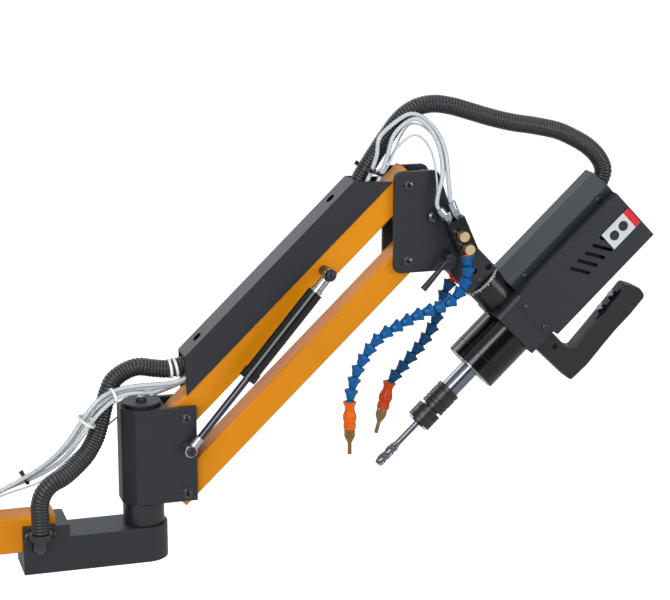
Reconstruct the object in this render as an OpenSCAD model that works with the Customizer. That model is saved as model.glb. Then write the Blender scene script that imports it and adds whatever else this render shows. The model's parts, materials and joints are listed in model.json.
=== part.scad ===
// Arm tapping machine: a swinging two-part arm on a bolted base, with a gas spring,
// a tilting and swivelling motor head, a quick-change chuck and two coolant hoses.
// Millimetres, +Z up. The origin is on the column's axis at the base plate's underside.

/* [Base and column] */
// Side of the square base plate
base_plate_w = 180; // [160:1:240]
// Thickness of the base plate
base_thick = 16; // [12:1:24]
// Corner radius of the base plate
base_corner_r = 20; // [8:1:30]
// Distance between neighbouring bolt holes of the base plate
base_bolt_pitch = 140; // [120:1:150]
// Diameter of the bolt holes of the base plate
base_bolt_d = 11; // [8:0.5:14]
// Diameter of the column and of the elbow shaft's collar
column_d = 56; // [50:1:62]
// Diameter of the journals that the housings turn on
journal_d = 40; // [32:1:42]
// Wall of the bronze bushes
bush_wall = 3; // [2:0.5:4]
// Height of the rear pivot pin's axis above the table
pivot_z = 380; // [340:5:460]

/* [First arm] */
// Distance from the column's axis to the elbow's axis
first_arm_len = 500; // [440:5:600]
// Width of the beam
beam_w = 44; // [36:1:48]
// Height of the beam
beam_h = 50; // [40:1:56]
// Wall of the beam
beam_wall = 3; // [2:0.5:5]
// Width of the beam's end housings
block_w = 64; // [62:1:72]
// Height of the beam's end housings
block_h = 66; // [60:1:74]
// Length of beam that each end housing holds
block_grip = 45; // [40:1:55]
// Distance from the elbow's axis to the beam's end
elbow_setback = 124; // [110:1:135]
// Distance from the column's axis to the beam's end
column_setback = 62; // [50:1:75]

/* [Elbow bracket] */
// Height of the bracket
bracket_h = 132.5; // [126:0.5:145]
// Width of the bracket over its cheeks
bracket_w = 66; // [62:1:74]
// Thickness of a cheek
cheek = 8; // [6:0.5:10]
// Distance from the elbow's axis to the rear pivot pins
post_to_pin = 54; // [52:1:62]
// Height of the bracket above the upper rear pin
bracket_over_pin = 16; // [14:0.5:22]
// Length of the shaft's collar between the bracket and the first arm
collar_len = 14; // [10:1:20]

/* [Parallel arm] */
// Distance between the two pins of a link
link_len = 433; // [380:1:500]
// Angle of the links above level, as the arm is stored
link_angle = 43.7; // [35:0.1:50]
// Height between the upper and the lower pins
link_pitch = 105; // [100:1:120]
// Outer size of the square link tube
tube_w = 38; // [34:0.5:40]
// Wall of the link tube
tube_wall = 3; // [2:0.5:4]
// Length of tube past the pin's axis
tube_over = 13.7; // [12:0.1:16]
// Diameter of the pivot pins
pin_d = 12; // [8:0.5:14]

/* [Cable cover] */
// Height of the cable cover above the tube
cover_h = 39; // [30:1:45]
// Sheet thickness of the cable cover
cover_wall = 1.5; // [1:0.1:2]
// Distance from the rear pin to the cover's lower end
cover_start = 22; // [20:1:40]
// Length of the cover along the tube
cover_len = 400; // [340:1:402]
// Diameter of the two cable holes in the cover's top
cover_hole_d = 14; // [8:0.5:20]

/* [Gas spring] */
// Diameter of the spring's cylinder
gas_d = 22; // [18:0.5:23]
// Diameter of the spring's rod
gas_rod_d = 10; // [6:0.5:12]
// Distance of the lower eye below the rear pin
gas_eye_drop = 41; // [36:1:50]
// Distance of the upper eye from the rear pin, along the link
gas_stud_s = 271.6; // [240:0.1:300]
// Length of rod and lower eye outside the cylinder
gas_rod_out = 122; // [100:1:125]

/* [Head bracket] */
// Thickness of a head plate
plate_t = 7; // [5:0.5:9]
// Clear width between the head plates
plate_gap = 42; // [41.4:0.2:46]
// Height of a head plate
plate_h = 140; // [134:1:150]
// Distance from the head pins to the tilt bolt, sideways
tilt_dx = 34.9; // [32:0.1:40]
// Distance from the upper head pin down to the tilt bolt
tilt_dz = 44.7; // [40:0.1:50]

/* [Head arm] */
// Angle of the spindle above level, as the head is stored
spindle_angle = 43.5; // [38:0.1:46]
// Distance from the tilt bolt to the spindle's axis
head_reach = 212; // [205:1:230]
// Sideways distance of the tilt bolt from the swivel's axis
tilt_offset = 9.4; // [6:0.1:12]
// Width of the head arm
head_arm_w = 51; // [46:1:54]
// Distance from the spindle's axis to the swivel joint
swivel_v = 80; // [78:1:84]
// Diameter of the graduated ring
ring_d = 56; // [54:1:60]

/* [Tapping head] */
// Width of the front cover
front_w = 85; // [80:1:88]
// Length of the front cover
front_len = 195; // [180:1:220]
// Distance from the spindle's axis to the front cover's face
front_y = 41; // [40:0.5:46]
// Sheet thickness of the covers
sheet = 2; // [1:0.1:2.5]
// Depth of the front cover
front_depth = 19; // [15:0.5:22]
// Number of cooling slots
slot_count = 5; // [3:1:6]
// Side of the square servo motor
motor_w = 74; // [60:1:76]
// Length of the servo motor's body
motor_len = 120; // [100:1:150]

/* [Spindle and chuck] */
// Diameter of the spindle housing
housing_d = 79; // [74:1:82]
// Length of the spindle housing
housing_len = 72.6; // [65:0.1:80]
// Diameter of the spindle
spindle_d = 27; // [22:0.5:30]
// Length of spindle outside its housing
spindle_out = 42.4; // [36:0.1:50]
// Diameter of the chuck's body
chuck_d = 35.4; // [32:0.2:38]
// Length of the chuck's body
chuck_len = 35.7; // [32:0.1:40]
// Diameter of the chuck's sleeve
sleeve_d = 36.6; // [33:0.2:40]
// Length of the chuck's sleeve
sleeve_len = 24; // [18:0.5:26]
// Diameter of the tap's shank
tap_shank_d = 9; // [6:0.5:10]
// Diameter of the tap's thread
tap_d = 12; // [8:0.5:14]
// Length of the tap outside the chuck
tap_out = 80; // [60:1:90]

/* [Handle] */
// Thickness of the handle
handle_t = 30; // [24:1:34]
// Diameter of a push button
button_d = 12; // [9:0.5:13]
// Travel of a push button
button_travel = 2; // [1:0.1:2.5]

/* [Hoses] */
// Diameter of the ribbed conduits over their ribs
conduit_d = 24.5; // [20:0.5:25]
// Pitch of the conduits' ribs
rib_pitch = 5.6; // [5.6:0.1:8]
// Diameter of the air tubes
air_d = 6; // [4:0.5:6]
// Outer diameter of a coolant hose link
link_d = 17.6; // [15:0.1:18]
// Pitch of the coolant hose links
hose_pitch = 16.6; // [15:0.1:18]

/* [Fits] */
// Radial clearance of a running fit
run_fit = 0.05; // [0.02:0.01:0.09]
// Gap between faces of neighbouring pieces
gap = 0.3; // [0.2:0.05:0.5]

/* [Hidden] */
$fn = 64;
// One overrun serves all cuts
overrun = 1;

// Colours
orange = [0.88, 0.55, 0.06];
powder_black = [0.17, 0.18, 0.21];
cover_grey = [0.30, 0.32, 0.36];
gloss_black = [0.06, 0.06, 0.07];
steel = [0.70, 0.71, 0.73];
zinc = [0.80, 0.81, 0.83];
bronze = [0.72, 0.52, 0.28];
brass = [0.80, 0.60, 0.34];
hose_blue = [0.06, 0.33, 0.62];
nozzle_orange = [0.91, 0.36, 0.09];
clear_tube = [0.85, 0.88, 0.90];
rubber_black = [0.10, 0.10, 0.11];

// Base
base_boss_wall = 12;
base_boss_h = 18;
base_socket_share = 0.5;
gusset_reach = 34;
gusset_h = 40;
gusset_t = 8;

// Post caps, their screws and the bushes' flanges
cap_d = 52.6;
cap_t = 2.7;
cap_screw_d = 10;
cap_screw_len = 22;
cap_dome_d = 15;
cap_dome_h = 6.5;
bush_len = 28;
bush_flange = 2;
bush_d = journal_d + 2 * run_fit + 2 * bush_wall;
bore_d = bush_d + 2 * run_fit;

// Levels, from the rear pin's height down to the first arm
bracket_top = pivot_z + bracket_over_pin;
bracket_bottom = bracket_top - bracket_h;
block_top = bracket_bottom - bush_flange - gap - collar_len;
block_bottom = block_top - block_h;
bore_drop = 17;
bore_top = block_top - bore_drop;
beam_proud = 12;
beam_top = block_top + beam_proud;
beam_start = column_setback;
beam_end = first_arm_len - elbow_setback;
pocket_w = beam_w + 2 * gap;
beam_corner_r = 4;
beam_bolt_d = 10;
beam_bolt_head_d = 16;
beam_bolt_head_h = 5;
beam_bolt_shares = [0.15, 0.85];
beam_bolt_x = [
    for (s = beam_bolt_shares) each [
        beam_start + s * block_grip,
        beam_end - s * block_grip
    ]
];

// Elbow bracket
elbow_x = first_arm_len;
pin_x = elbow_x + post_to_pin;
cheek_over_pin = 14.5;
bevel_in = 15;
bracket_left = 31;
bracket_left_w = 28;
cavity_start = 28.5;
washer_d = 15.7;
washer_t = 1.5;
button_head_h = 3.4;
head_socket_d = 6;
spacer_d = 24;

// Links
pin_bore = pin_d + 2 * run_fit;
tube_corner_r = 3.5;
eye_sleeve_d = 22;
plug_lip = 1;
plug_corner_r = 1;
head_pin_x = pin_x + link_len * cos(link_angle);
head_pin_z = pivot_z + link_len * sin(link_angle);

// Cable cover
cover_side_gap = gap;
cover_skirt = 2;
cover_hole_shares = [0.167, 0.814];
saddle_t = 4;
saddle_w = 8;
saddle_shares = [0.2, 0.8];

// Gas spring, measured from the rear pin in the stored pose
gas_y = -(bracket_w / 2 + 12);
gas_eye_x = 2.5;
gas_stud_x = gas_stud_s * cos(link_angle);
gas_stud_z = gas_stud_s * sin(link_angle);
gas_dx = gas_stud_x - gas_eye_x;
gas_dz = gas_stud_z + gas_eye_drop;
gas_span = sqrt(gas_dx * gas_dx + gas_dz * gas_dz);
gas_angle = atan2(gas_dz, gas_dx);
gas_eye_d = 17;
gas_eye_t = 11;
gas_pin_d = 8;
gas_collar_len = 14;
gas_top_len = 30;
gas_rod_in = 34;
gas_piston_len = 12;
gas_fork_len = 22;
gas_pin_y = -bracket_w / 2 - gap - gas_y;
gas_wall = 1.5;

// Head bracket
head_left = 19.6;
head_over_pin = 18.8;
plate_corner_r = 10;
plate_top_w = 62;
plate_mid_w = 92;
plate_mid_drop = 86;
cross_rod_d = 14;
cross_rods = [[33, 7], [-5, -52.5], [32, -111]];
tilt_x = head_pin_x + tilt_dx;
tilt_z = head_pin_z - tilt_dz;
tilt_bolt_d = 14;
tilt_head_d = 17;
tilt_head_h = 7;

// Clamp lever, from the tilt bolt
clamp_dx = 21.1;
clamp_dz = 55.8;
clamp_stud_d = 8;
clamp_hub_d = 14;
clamp_hub_h = 18;
clamp_len = 57;
clamp_tip_d = 9;
clamp_neck_d = 6;
clamp_sink = 2;
clamp_lever_angle = 227.6;

// Head frame
head_x = tilt_x - tilt_offset * cos(spindle_angle) + head_reach * sin(spindle_angle);
head_z = tilt_z - tilt_offset * sin(spindle_angle) - head_reach * cos(spindle_angle);
arm_t = plate_gap - 2 * gap;
arm_end_r = 24;
ring_t = 6;
arm_square_v = 152;
tilt_bush_d = 20;
spigot_d = 30;
spigot_len = 24;
arm_screws = [[-0.3, 108.3], [17.9, 96.5]];
arm_screw_d = 9;
arm_screw_depth = 7;

// Valve block, in the head plates' plane
valve_x = 36;
valve_z = -25;
valve_angle = -66;
valve_len = 50;
valve_w = 26;
valve_d = 22;
valve_stand = 8.8;
spacer_start = -23;
spacer_len = 23;
spacer_side = 3;
spacer_w = 10;
valve_seam = 1;
valve_y = -arm_t / 2 - valve_stand - valve_d / 2;
knob_d = 14;
knob_len = 12;
knob_stem_d = 8;
knob_stem_out = 2;
knob_stem_in = 6;
knob_side = -1.5;
knob_shares = [0.44, 0.84];
fitting_stub_d = 9;
fitting_stub_len = 6;
fitting_hex_d = 13;
fitting_hex_h = 6;
fitting_d = 12;
fitting_len = 11;
fitting_sides = [-7, 5.5];
fitting_tilts = [16, 0];

// Head
block_low = 24;
block_high = 20;
block_v_low = 34.4;
block_v_high = 43;
block_y = 41;
block_edge_r = 8;
tab_len = 13;
tab_v_high = 36;
barrel_d = 52;
cover_u = 22;
cover_v = 74;
cover_v_right = 50;
cover_rear_y = 40;
bevel_v = 20;
bevel_y = 19;
front_u = 20.5;
slot_w = 5;
slot_len = 32;
slot_pitch = 14.9;
slot_first_u = 104.7;
slot_angle = -60.5;
conduit_entry_v = 52;
shelf_depth = 26;
entry_play = 1.5;
conduit_entry_y = 8;
motor_face = motor_w / 2 + gap;
motor_cap_w = 60;
motor_end_room = 31;
motor_cap_len = front_len - motor_len - motor_end_room;
motor_corner_r = 8;
head_screw_d = 8;
head_screw_h = 3;
screw_core_d = 4;
screw_core_len = 5;
tab_screws = [[15.4, 23.2], [14.7, -19.6]];
strip_screws = [[45.8, 48], [193.5, 48]];
slot_v = 1;

// Spindle
bearing_bore_d = spindle_d + 2 * run_fit;
housing_wall = 12;
bearing_len = 14;
chuck_core_d = 24;
chuck_groove = 3.5;
chuck_nose_len = 3;
ring_groove = 1.2;
ring_shares = [0.18, 0.62, 0.80];
nose_d = 18;
chuck_bore_d = tap_shank_d + 2 * run_fit;
tap_hold = 24;
tap_thread_len = 38;
tap_core_share = 0.62;
tap_flutes = 3;
tap_twist = 130;
tap_slices = 12;
flute_share = 0.36;
tap_point_len = 3;

// Handle, in the head frame as [u, v]
grip_face = [[144.9, -80.9], [77, -87.7]];
handle_outline = [
    [-11.5, -block_v_low], [-11.5, -53.5], [-8.8, -118], [-6.5, -121.6], [25.6, -122.9], [62.1, -119.3],
    [87.9, -117.3], [119.3, -117], [148.7, -114.2], [152.5, -110.6], [154, -98.7], grip_face[0],
    grip_face[1], [27.7, -91.6], [20, -80], [20, -block_v_low]
];
handle_radii = [0, 0, 3, 3, 12, 20, 20, 20, 3, 3, 9, 6, 0, 5, 5, 0];
handle_hole = [8.4, -66];
handle_hole_w = 7;
handle_hole_depth = 6;

// Strip with the two push buttons, on the grip's inner face
strip_u = 107;
strip_angle = atan2(grip_face[0].y - grip_face[1].y, grip_face[0].x - grip_face[1].x);
strip_v = grip_face[1].y + (strip_u - grip_face[1].x) * tan(strip_angle);
strip_len = 54;
strip_w = 15;
strip_t = 1.8;
button_x = [-11, 13.5];
button_ring_d = 15.5;
button_ring_t = 1.6;
button_out = 2.4;
button_in = 4;

// Swept tubes
conduit_root_d = conduit_d - 4;
conduit_bore_d = conduit_d - 7;
conduit_sides = 8;
air_sides = 8;
air_bore_share = 0.65;
spline_steps = 8;

// Coolant hose links: a socket with a rim, a neck and a ball
ball_d = 13.3;
ball_steps = 4;
socket_rim = 3;
link_neck_d = 8;
link_bore_d = 6;
link_sides = 24;
adapter_len = 9;
adapter_base_d = 16;
adapter_base_len = 3;
adapter_side = -4;
rear_adapter_v = 113;
front_link_count = 17;
rear_link_count = 10;
walk_tries = 5;
nozzle_len = 36;
nozzle_waist_d = 13.3;
nozzle_bulb_d = 18.6;
nozzle_bulb_z = 19;
nozzle_groove_d = 15.6;
nozzle_ring_d = 16.7;
nozzle_ring_h = 8;
tip_len = 36.4;
tip_d = 7;
tip_collar_d = 14.8;
tip_collar_h = 12;
tip_cone_h = 7.6;
tip_end_d = 5.6;
tip_bore_d = 3;

// Tube gland on the elbow's block and grommet on the beam
gland_bend = 20;
gland_d = 30;
gland_len = 8;
gland_neck_d = 18;
grommet_back = 284;
grommet_x = pin_x - grommet_back;
grommet_y = 4;
grommet_d = 30;
grommet_h = 3.5;
grommet_lip = 4;

// Places that the routes start and end at, from the upper rear pin in the stored pose
exit_s = cover_start + cover_len;
cover_exit = [exit_s * cos(link_angle), 0, exit_s * sin(link_angle)];
head_pin = [head_pin_x - pin_x, 0, head_pin_z - pivot_z];
tilt_pin = [tilt_x - pin_x, 0, tilt_z - pivot_z];
head_mid = [head_x - pin_x, 0, head_z - pivot_z];
head_up = [cos(spindle_angle), 0, sin(spindle_angle)];
head_side = [-sin(spindle_angle), 0, cos(spindle_angle)];
valve_down = [cos(valve_angle), 0, sin(valve_angle)];
valve_right = [-sin(valve_angle), 0, cos(valve_angle)];
valve_mid = tilt_pin + [valve_x, valve_y, valve_z];

// Route of the base conduit, chosen by hand
base_route = [
    [19, 0, 71], [10, 0, 67], [-3, 0, 64], [-18, 0, 62], [-36, 2, 64], [-56, 4, 67],
    [-74, 5, 62], [-90, 3, 52],
    [-99, -2, 38], [-106, -6, 18], [-113, -12, -3], [-122, -20, -22], [-136, -30, -39],
    [-153, -40, -51], [-170, -49, -60], [-186, -54, -66], [-198, -56, -78], [-203, -56, -94],
    [-203, -56, -107], [-203, -56, -119], [-203, -56, -132]
];
base_end = base_route[len(base_route) - 1];
gland_x = pin_x + base_end.x;
gland_y = base_end.y;
gland_z = pivot_z + base_end.z - gap - gland_len - gland_bend;

// Route of the head conduit: its points near the cable cover, and its points past the head bracket
conduit_from_cover = [[-66, 3, -10], [-56, 3, 4], [-49, 3, 18], [-40, 2, 33], [-29, 1, 50]];
conduit_from_head = [
    [-22, 0, 64], [-4, 0, 86], [17, 0, 100], [42, 0, 105], [69, 0, 101], [98, 0, 92], [129, 0, 82],
    [160, 0, 74], [192, 1, 68], [228, 3, 59], [256, 5, 46], [277, 7, 33], [293, 8, 17], [301, 8, -1]
];
entry_u = cover_u + front_len;
head_route = concat(
    [for (p = conduit_from_cover) cover_exit + p],
    [for (p = conduit_from_head) head_pin + p],
    [for (u = [0, -shelf_depth / 2, -shelf_depth + gap])
        head_mid + (entry_u + u) * head_up + conduit_entry_v * head_side + [0, conduit_entry_y, 0]]
);

// Routes of the air tubes at the base, chosen by hand
tube_end_z = beam_top + grommet_h + gap - pivot_z;
tube_lead = 5;
base_tube_routes = [
    [
        [27, -16, 61], [8, -14, 52], [-14, -14, 46], [-40, -18, 47], [-64, -21, 48], [-88, -23, 46],
        [-110, -26, 39], [-128, -27, 23], [-144, -25, 0], [-160, -21, -24], [-178, -14, -45],
        [-198, -8, -61], [-226, -4, -77], [-254, -3, -90], [-272, -3, -100],
        [-280, -3, tube_end_z + tube_lead], [-280, -3, tube_end_z]
    ],
    [
        [29, -9, 60.5], [12, -7, 49], [-12, -6, 41], [-40, -11, 41], [-66, -15, 42], [-88, -18, 39],
        [-106, -21, 31], [-124, -21, 16], [-140, -19, -6], [-157, -14, -30], [-176, -7, -50],
        [-198, 0, -66], [-228, 4, -82], [-254, 5, -94], [-271, 5, -102],
        [-279, 5, tube_end_z + tube_lead], [-279, 5, tube_end_z]
    ],
    [
        [29, 9, 60.5], [12, 8, 48], [-12, 2, 39], [-40, -8, 34], [-64, -17, 32], [-84, -23, 27],
        [-101, -26, 17], [-120, -28, 2], [-139, -26, -17], [-160, -14, -46], [-181, -1, -64],
        [-203, 8, -77], [-230, 12, -87], [-258, 12, -97], [-279, 12, -104],
        [-288, 12, tube_end_z + tube_lead], [-288, 12, tube_end_z]
    ]
];

// Routes of the air tubes at the head: from the valve block's fittings into the cable cover
fitting_reach = fitting_stub_len + fitting_hex_h + fitting_len + gap;
fitting_lead = 3;
fitting_dirs = [
    for (tilt = fitting_tilts) -cos(tilt) * valve_down - sin(tilt) * valve_right
];
fitting_ends = [
    for (i = [0, 1])
        valve_mid - valve_len / 2 * valve_down + fitting_sides[i] * valve_right
        + fitting_reach * fitting_dirs[i]
];
head_tubes_mid = [
    [[1.6, -40.5, 18.5], [1.8, -40.7, 25], [3.4, -41, 35], [9, -40, 56], [9, -37, 80], [4, -32, 103],
        [-7, -26, 123], [-22, -22, 134],
        [-38, -19, 128]],
    [[19, -41, 38], [19, -38, 60], [20, -34, 84], [14, -28, 108], [2, -22, 126],
        [-17, -19, 144], [-38, -18, 143]]
];
head_tubes_end = [
    [[-12, -19, 73], [-20, -18, 44], [-31, -15.5, 14], [-42, -15.5, -4]],
    [[-27, -18, 77], [-34, -17, 48], [-44, -15.5, 20], [-52, -15.5, 4]]
];
head_tube_routes = [
    for (i = [0, 1]) concat(
        [fitting_ends[i], fitting_ends[i] + fitting_lead * fitting_dirs[i]],
        [for (p = head_tubes_mid[i]) tilt_pin + p],
        [for (p = head_tubes_end[i]) cover_exit + p]
    )
];

// Routes of the coolant hoses, from their first ball
front_ball = valve_mid + (valve_len / 2 + adapter_len) * valve_down + adapter_side * valve_right;
rear_ball = head_mid - (head_arm_w / 2 + adapter_len) * head_up + rear_adapter_v * head_side;
front_hose_bends = [
    [48.4, -77.5], [43.6, -95], [33.9, -108.5], [19.9, -120.5], [3.9, -125.5],
    [-12.1, -129.5], [-27.1, -134.5],
    [-42.1, -141.5], [-56.1, -148.5], [-69.1, -154.5], [-83.1, -164.5], [-93.1, -176.5], [-103.1, -191.5],
    [-111.1, -206.5], [-116.6, -224.5], [-120.1, -240.5], [-121.1, -254.5], [-120.6, -288.5],
    [-119.1, -324.5]
];
rear_hose_bends = [
    [28.6, -116.8], [23.4, -132.8], [18.4, -148.5], [12.2, -162.9], [4, -175.6], [-5.6, -188],
    [-15.6, -200.1], [-25.8, -210.3], [-36, -222.5], [-46.7, -232.6], [-52.2, -244.2], [-67.8, -307]
];
front_hose_route = concat([front_ball], [for (p = front_hose_bends) tilt_pin + [p.x, valve_y, p.y]]);
rear_hose_route = concat([rear_ball], [for (p = rear_hose_bends) tilt_pin + [p.x, 0, p.y]]);

// Points of an arc about a centre, both ends included
function arc(c, r, from, to, steps) =
    [for (i = [0:steps]) let (a = from + (to - from) * i / steps) c + r * [cos(a), sin(a)]];

// Unit vector
function unit(v) = v / norm(v);

// Points that round the corner at p between its neighbours a and b
function corner(a, p, b, r, steps) =
    let (
        ua = unit(a - p),
        ub = unit(b - p),
        half = acos(ua * ub) / 2,
        c = p + unit(ua + ub) * r / sin(half),
        pa = p + ua * r / tan(half),
        pb = p + ub * r / tan(half),
        a0 = atan2(pa.y - c.y, pa.x - c.x),
        turn = atan2(pb.y - c.y, pb.x - c.x) - a0,
        sweep = turn > 180 ? turn - 360 : turn < -180 ? turn + 360 : turn
    )
    arc(c, r, a0, a0 + sweep, steps);

// A closed outline with each corner rounded to its own radius
function rounded(points, radii, steps = 6) =
    let (n = len(points))
    [for (i = [0:n - 1])
        each radii[i] > 0
            ? corner(points[(i + n - 1) % n], points[i], points[(i + 1) % n], radii[i], steps)
            : [points[i]]];

// One point of a smooth curve through p1 and p2
function spline_point(p0, p1, p2, p3, t) =
    0.5 * (2 * p1 + (p2 - p0) * t + (2 * p0 - 5 * p1 + 4 * p2 - p3) * t * t
    + (3 * p1 - p0 - 3 * p2 + p3) * t * t * t);

// A smooth curve through every point of a route
function spline(route) =
    let (n = len(route))
    [
        for (i = [0:n - 2], k = [0:spline_steps - 1])
            spline_point(
                i > 0 ? route[i - 1] : 2 * route[0] - route[1],
                route[i],
                route[i + 1],
                i < n - 2 ? route[i + 2] : 2 * route[n - 1] - route[n - 2],
                k / spline_steps
            ),
        route[n - 1]
    ];

// Length of a curve up to each of its points
function lengths(points) =
    [
        for (
            i = 0, s = 0;
            i < len(points);
            i = i + 1, s = s + (i < len(points) ? norm(points[i] - points[i - 1]) : 0)
        ) s
    ];

// Number of the span that holds the length s
function span_at(sums, s, low, high) =
    high - low <= 1
        ? low
        : let (mid = floor((low + high) / 2))
            sums[mid] > s ? span_at(sums, s, low, mid) : span_at(sums, s, mid, high);

// Point of a curve at the length s
function at_length(points, sums, s) =
    let (
        i = span_at(sums, s, 0, len(points) - 1),
        share = (s - sums[i]) / (sums[i + 1] - sums[i])
    )
    points[i] + (points[i + 1] - points[i]) * share;

// Least gap of a tube to itself, between points of its middle line that lie apart along it
function self_gap(points, d, apart) =
    min([
        for (i = [0:len(points) - 1 - apart], j = [i + apart:len(points) - 1])
            norm(points[j] - points[i])
    ]) - d;

// Directions of a curve at its points
function directions(points) =
    let (n = len(points))
    [for (i = [0:n - 1]) unit(points[min(i + 1, n - 1)] - points[max(i - 1, 0)])];

// Side vectors carried along a curve without twist
function side_vectors(dirs, start) =
    [
        for (
            i = 0, v = unit(start - (start * dirs[0]) * dirs[0]);
            i < len(dirs);
            i = i + 1, v = i < len(dirs) ? unit(v - (v * dirs[i]) * dirs[i]) : v
        ) v
    ];

// Rings of points round a curve, each with its own radius
function rings(points, radii, sides) =
    let (
        dirs = directions(points),
        side = side_vectors(dirs, [0, 1, 0])
    )
    [for (i = [0:len(points) - 1], k = [0:sides - 1])
        let (a = 360 * k / sides)
        points[i] + radii[i] * (cos(a) * side[i] + sin(a) * cross(dirs[i], side[i]))];

// Triangles between neighbouring rings
function skin(count, sides, first, inward) =
    [for (i = [0:count - 2], k = [0:sides - 1])
        let (
            a = first + i * sides + k,
            b = first + i * sides + (k + 1) % sides,
            c = a + sides,
            d = b + sides
        )
        each inward ? [[a, c, b], [b, c, d]] : [[a, b, c], [b, d, c]]];

// Triangles that close the wall between an outer and an inner ring
function rim(outer, inner, sides, inward) =
    [for (k = [0:sides - 1])
        let (
            a = outer + k,
            b = outer + (k + 1) % sides,
            c = inner + k,
            d = inner + (k + 1) % sides
        )
        each inward ? [[a, c, b], [b, c, d]] : [[a, b, c], [b, d, c]]];

// A hollow tube along a curve, with its own points for the outside and the bore
module swept_tube(outer_points, outer_radii, bore_points, bore_r, sides) {
    n = len(outer_points);
    m = len(bore_points);
    polyhedron(
        points = concat(
            rings(outer_points, outer_radii, sides),
            rings(bore_points, [for (p = bore_points) bore_r], sides)
        ),
        faces = concat(
            skin(n, sides, 0, true),
            skin(m, sides, n * sides, false),
            rim(0, n * sides, sides, false),
            rim((n - 1) * sides, (n + m - 1) * sides, sides, true)
        )
    );
}

// A conduit with ribs at an even pitch and a smooth bore
module ribbed_tube(route) {
    curve = spline(route);
    sums = lengths(curve);
    total = sums[len(sums) - 1];
    ribs = floor(total / rib_pitch);
    step = total / ribs;
    outer = [for (i = [0:2 * ribs - 1]) at_length(curve, sums, min(i / 2 * step + step / 4, total))];
    path = concat([curve[0]], outer, [curve[len(curve) - 1]]);
    root = conduit_root_d / 2;
    crest = conduit_d / 2;
    radii = concat([root], [for (i = [0:2 * ribs - 1]) i % 2 == 0 ? crest : root], [root]);
    spans = floor(ribs / 4);
    bore = [for (i = [0:spans]) at_length(curve, sums, min(i * total / spans, total))];
    echo(least_gap_to_itself = self_gap(path, conduit_d, ceil(2 * conduit_d / (step / 2))));
    swept_tube(path, radii, bore, conduit_bore_d / 2, conduit_sides);
}

// A smooth air tube along a route
module air_tube(route) {
    dirs_r = [for (p = route) air_d / 2];
    swept_tube(route, dirs_r, route, air_d / 2 * air_bore_share, air_sides);
}

// Cylinder along X from x0 to x1
module rod_x(d, x0, x1) {
    translate([x0, 0, 0]) rotate([0, 90, 0]) cylinder(d = d, h = x1 - x0);
}

// Cylinder along Y from y0 to y1
module rod_y(d, y0, y1) {
    translate([0, y1, 0]) rotate([90, 0, 0]) cylinder(d = d, h = y1 - y0);
}

// Outline in X and Z, extruded along Y from y0 to y1
module slab_y(y0, y1) {
    translate([0, y1, 0]) rotate([90, 0, 0]) linear_extrude(y1 - y0) children();
}

// Outline in Y and Z, extruded along X from x0 to x1
module slab_x(x0, x1) {
    translate([x0, 0, 0]) rotate([90, 0, 90]) linear_extrude(x1 - x0) children();
}

// Rectangle with rounded corners about its centre
module round_rect(w, h, r) {
    square([w - 2 * r, h], center = true);
    square([w, h - 2 * r], center = true);
    for (x = [-1, 1], y = [-1, 1]) translate([x * (w / 2 - r), y * (h / 2 - r)]) circle(r = r);
}

// Domed screw head with a hexagon socket, its seat at the origin and its dome along +Z
module screw_head(d, h, socket_d) {
    rim_h = h / 3;
    difference() {
        rotate_extrude() polygon(concat(
            [[0, 0], [d / 2, 0], [d / 2, rim_h]],
            [for (a = [30:30:60]) [d / 2 * cos(a), rim_h + (h - rim_h) * sin(a)]],
            [[0, h]]
        ));
        translate([0, 0, h / 2]) cylinder(d = socket_d, h = h, $fn = 6);
    }
}

// Frames
module at_pin() {
    translate([pin_x, 0, pivot_z]) children();
}

module along_link(drop = 0) {
    translate([pin_x, 0, pivot_z - drop]) rotate([0, -link_angle, 0]) children();
}

module at_head_pin() {
    translate([head_pin_x, 0, head_pin_z]) children();
}

module at_tilt() {
    translate([tilt_x, 0, tilt_z]) children();
}

// X runs up along the spindle, Z towards the swivel ring
module in_head() {
    translate([head_x, 0, head_z]) rotate([0, -spindle_angle, 0]) children();
}

// X runs down along the valve block, Z to its right
module in_valve() {
    translate([tilt_x + valve_x, 0, tilt_z + valve_z]) rotate([0, -valve_angle, 0]) children();
}

// X runs along the gas spring, from its lower eye to its upper one
module along_spring() {
    translate([pin_x + gas_eye_x, gas_y, pivot_z - gas_eye_drop]) rotate([0, -gas_angle, 0]) children();
}

// Base

module base_plate() color(powder_black) difference() {
    union() {
        linear_extrude(base_thick) round_rect(base_plate_w, base_plate_w, base_corner_r);
        translate([0, 0, base_thick]) cylinder(d = column_d + 2 * base_boss_wall, h = base_boss_h);
        for (a = [0:90:270]) rotate([0, 0, a + 45]) base_gusset();
    }
    translate([0, 0, base_thick * base_socket_share])
        cylinder(d = column_d + 2 * run_fit, h = base_thick + base_boss_h + gusset_h);
    for (x = [-1, 1], y = [-1, 1])
        translate([x * base_bolt_pitch / 2, y * base_bolt_pitch / 2, -overrun])
            cylinder(d = base_bolt_d, h = base_thick + 2 * overrun);
}

module base_gusset() {
    slab_y(-gusset_t / 2, gusset_t / 2) polygon([
        [column_d / 2, base_thick],
        [column_d / 2 + gusset_reach, base_thick],
        [column_d / 2 + base_boss_wall, base_thick + gusset_h],
        [column_d / 2, base_thick + gusset_h]
    ]);
}

// A journal with a collar from collar_from to collar_to, and a hole for the cap's screw
module post(bottom, collar_from, collar_to, top) {
    difference() {
        union() {
            translate([0, 0, collar_from]) cylinder(d = column_d, h = collar_to - collar_from);
            translate([0, 0, bottom]) cylinder(d = journal_d, h = top - bottom);
        }
        translate([0, 0, top - cap_screw_len - overrun])
            cylinder(d = cap_screw_d + 2 * run_fit, h = cap_screw_len + 2 * overrun);
    }
}

module base_column() color(steel) post(
    base_thick * base_socket_share,
    base_thick * base_socket_share,
    block_bottom - bush_flange - gap,
    block_top + bush_flange
);

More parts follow.
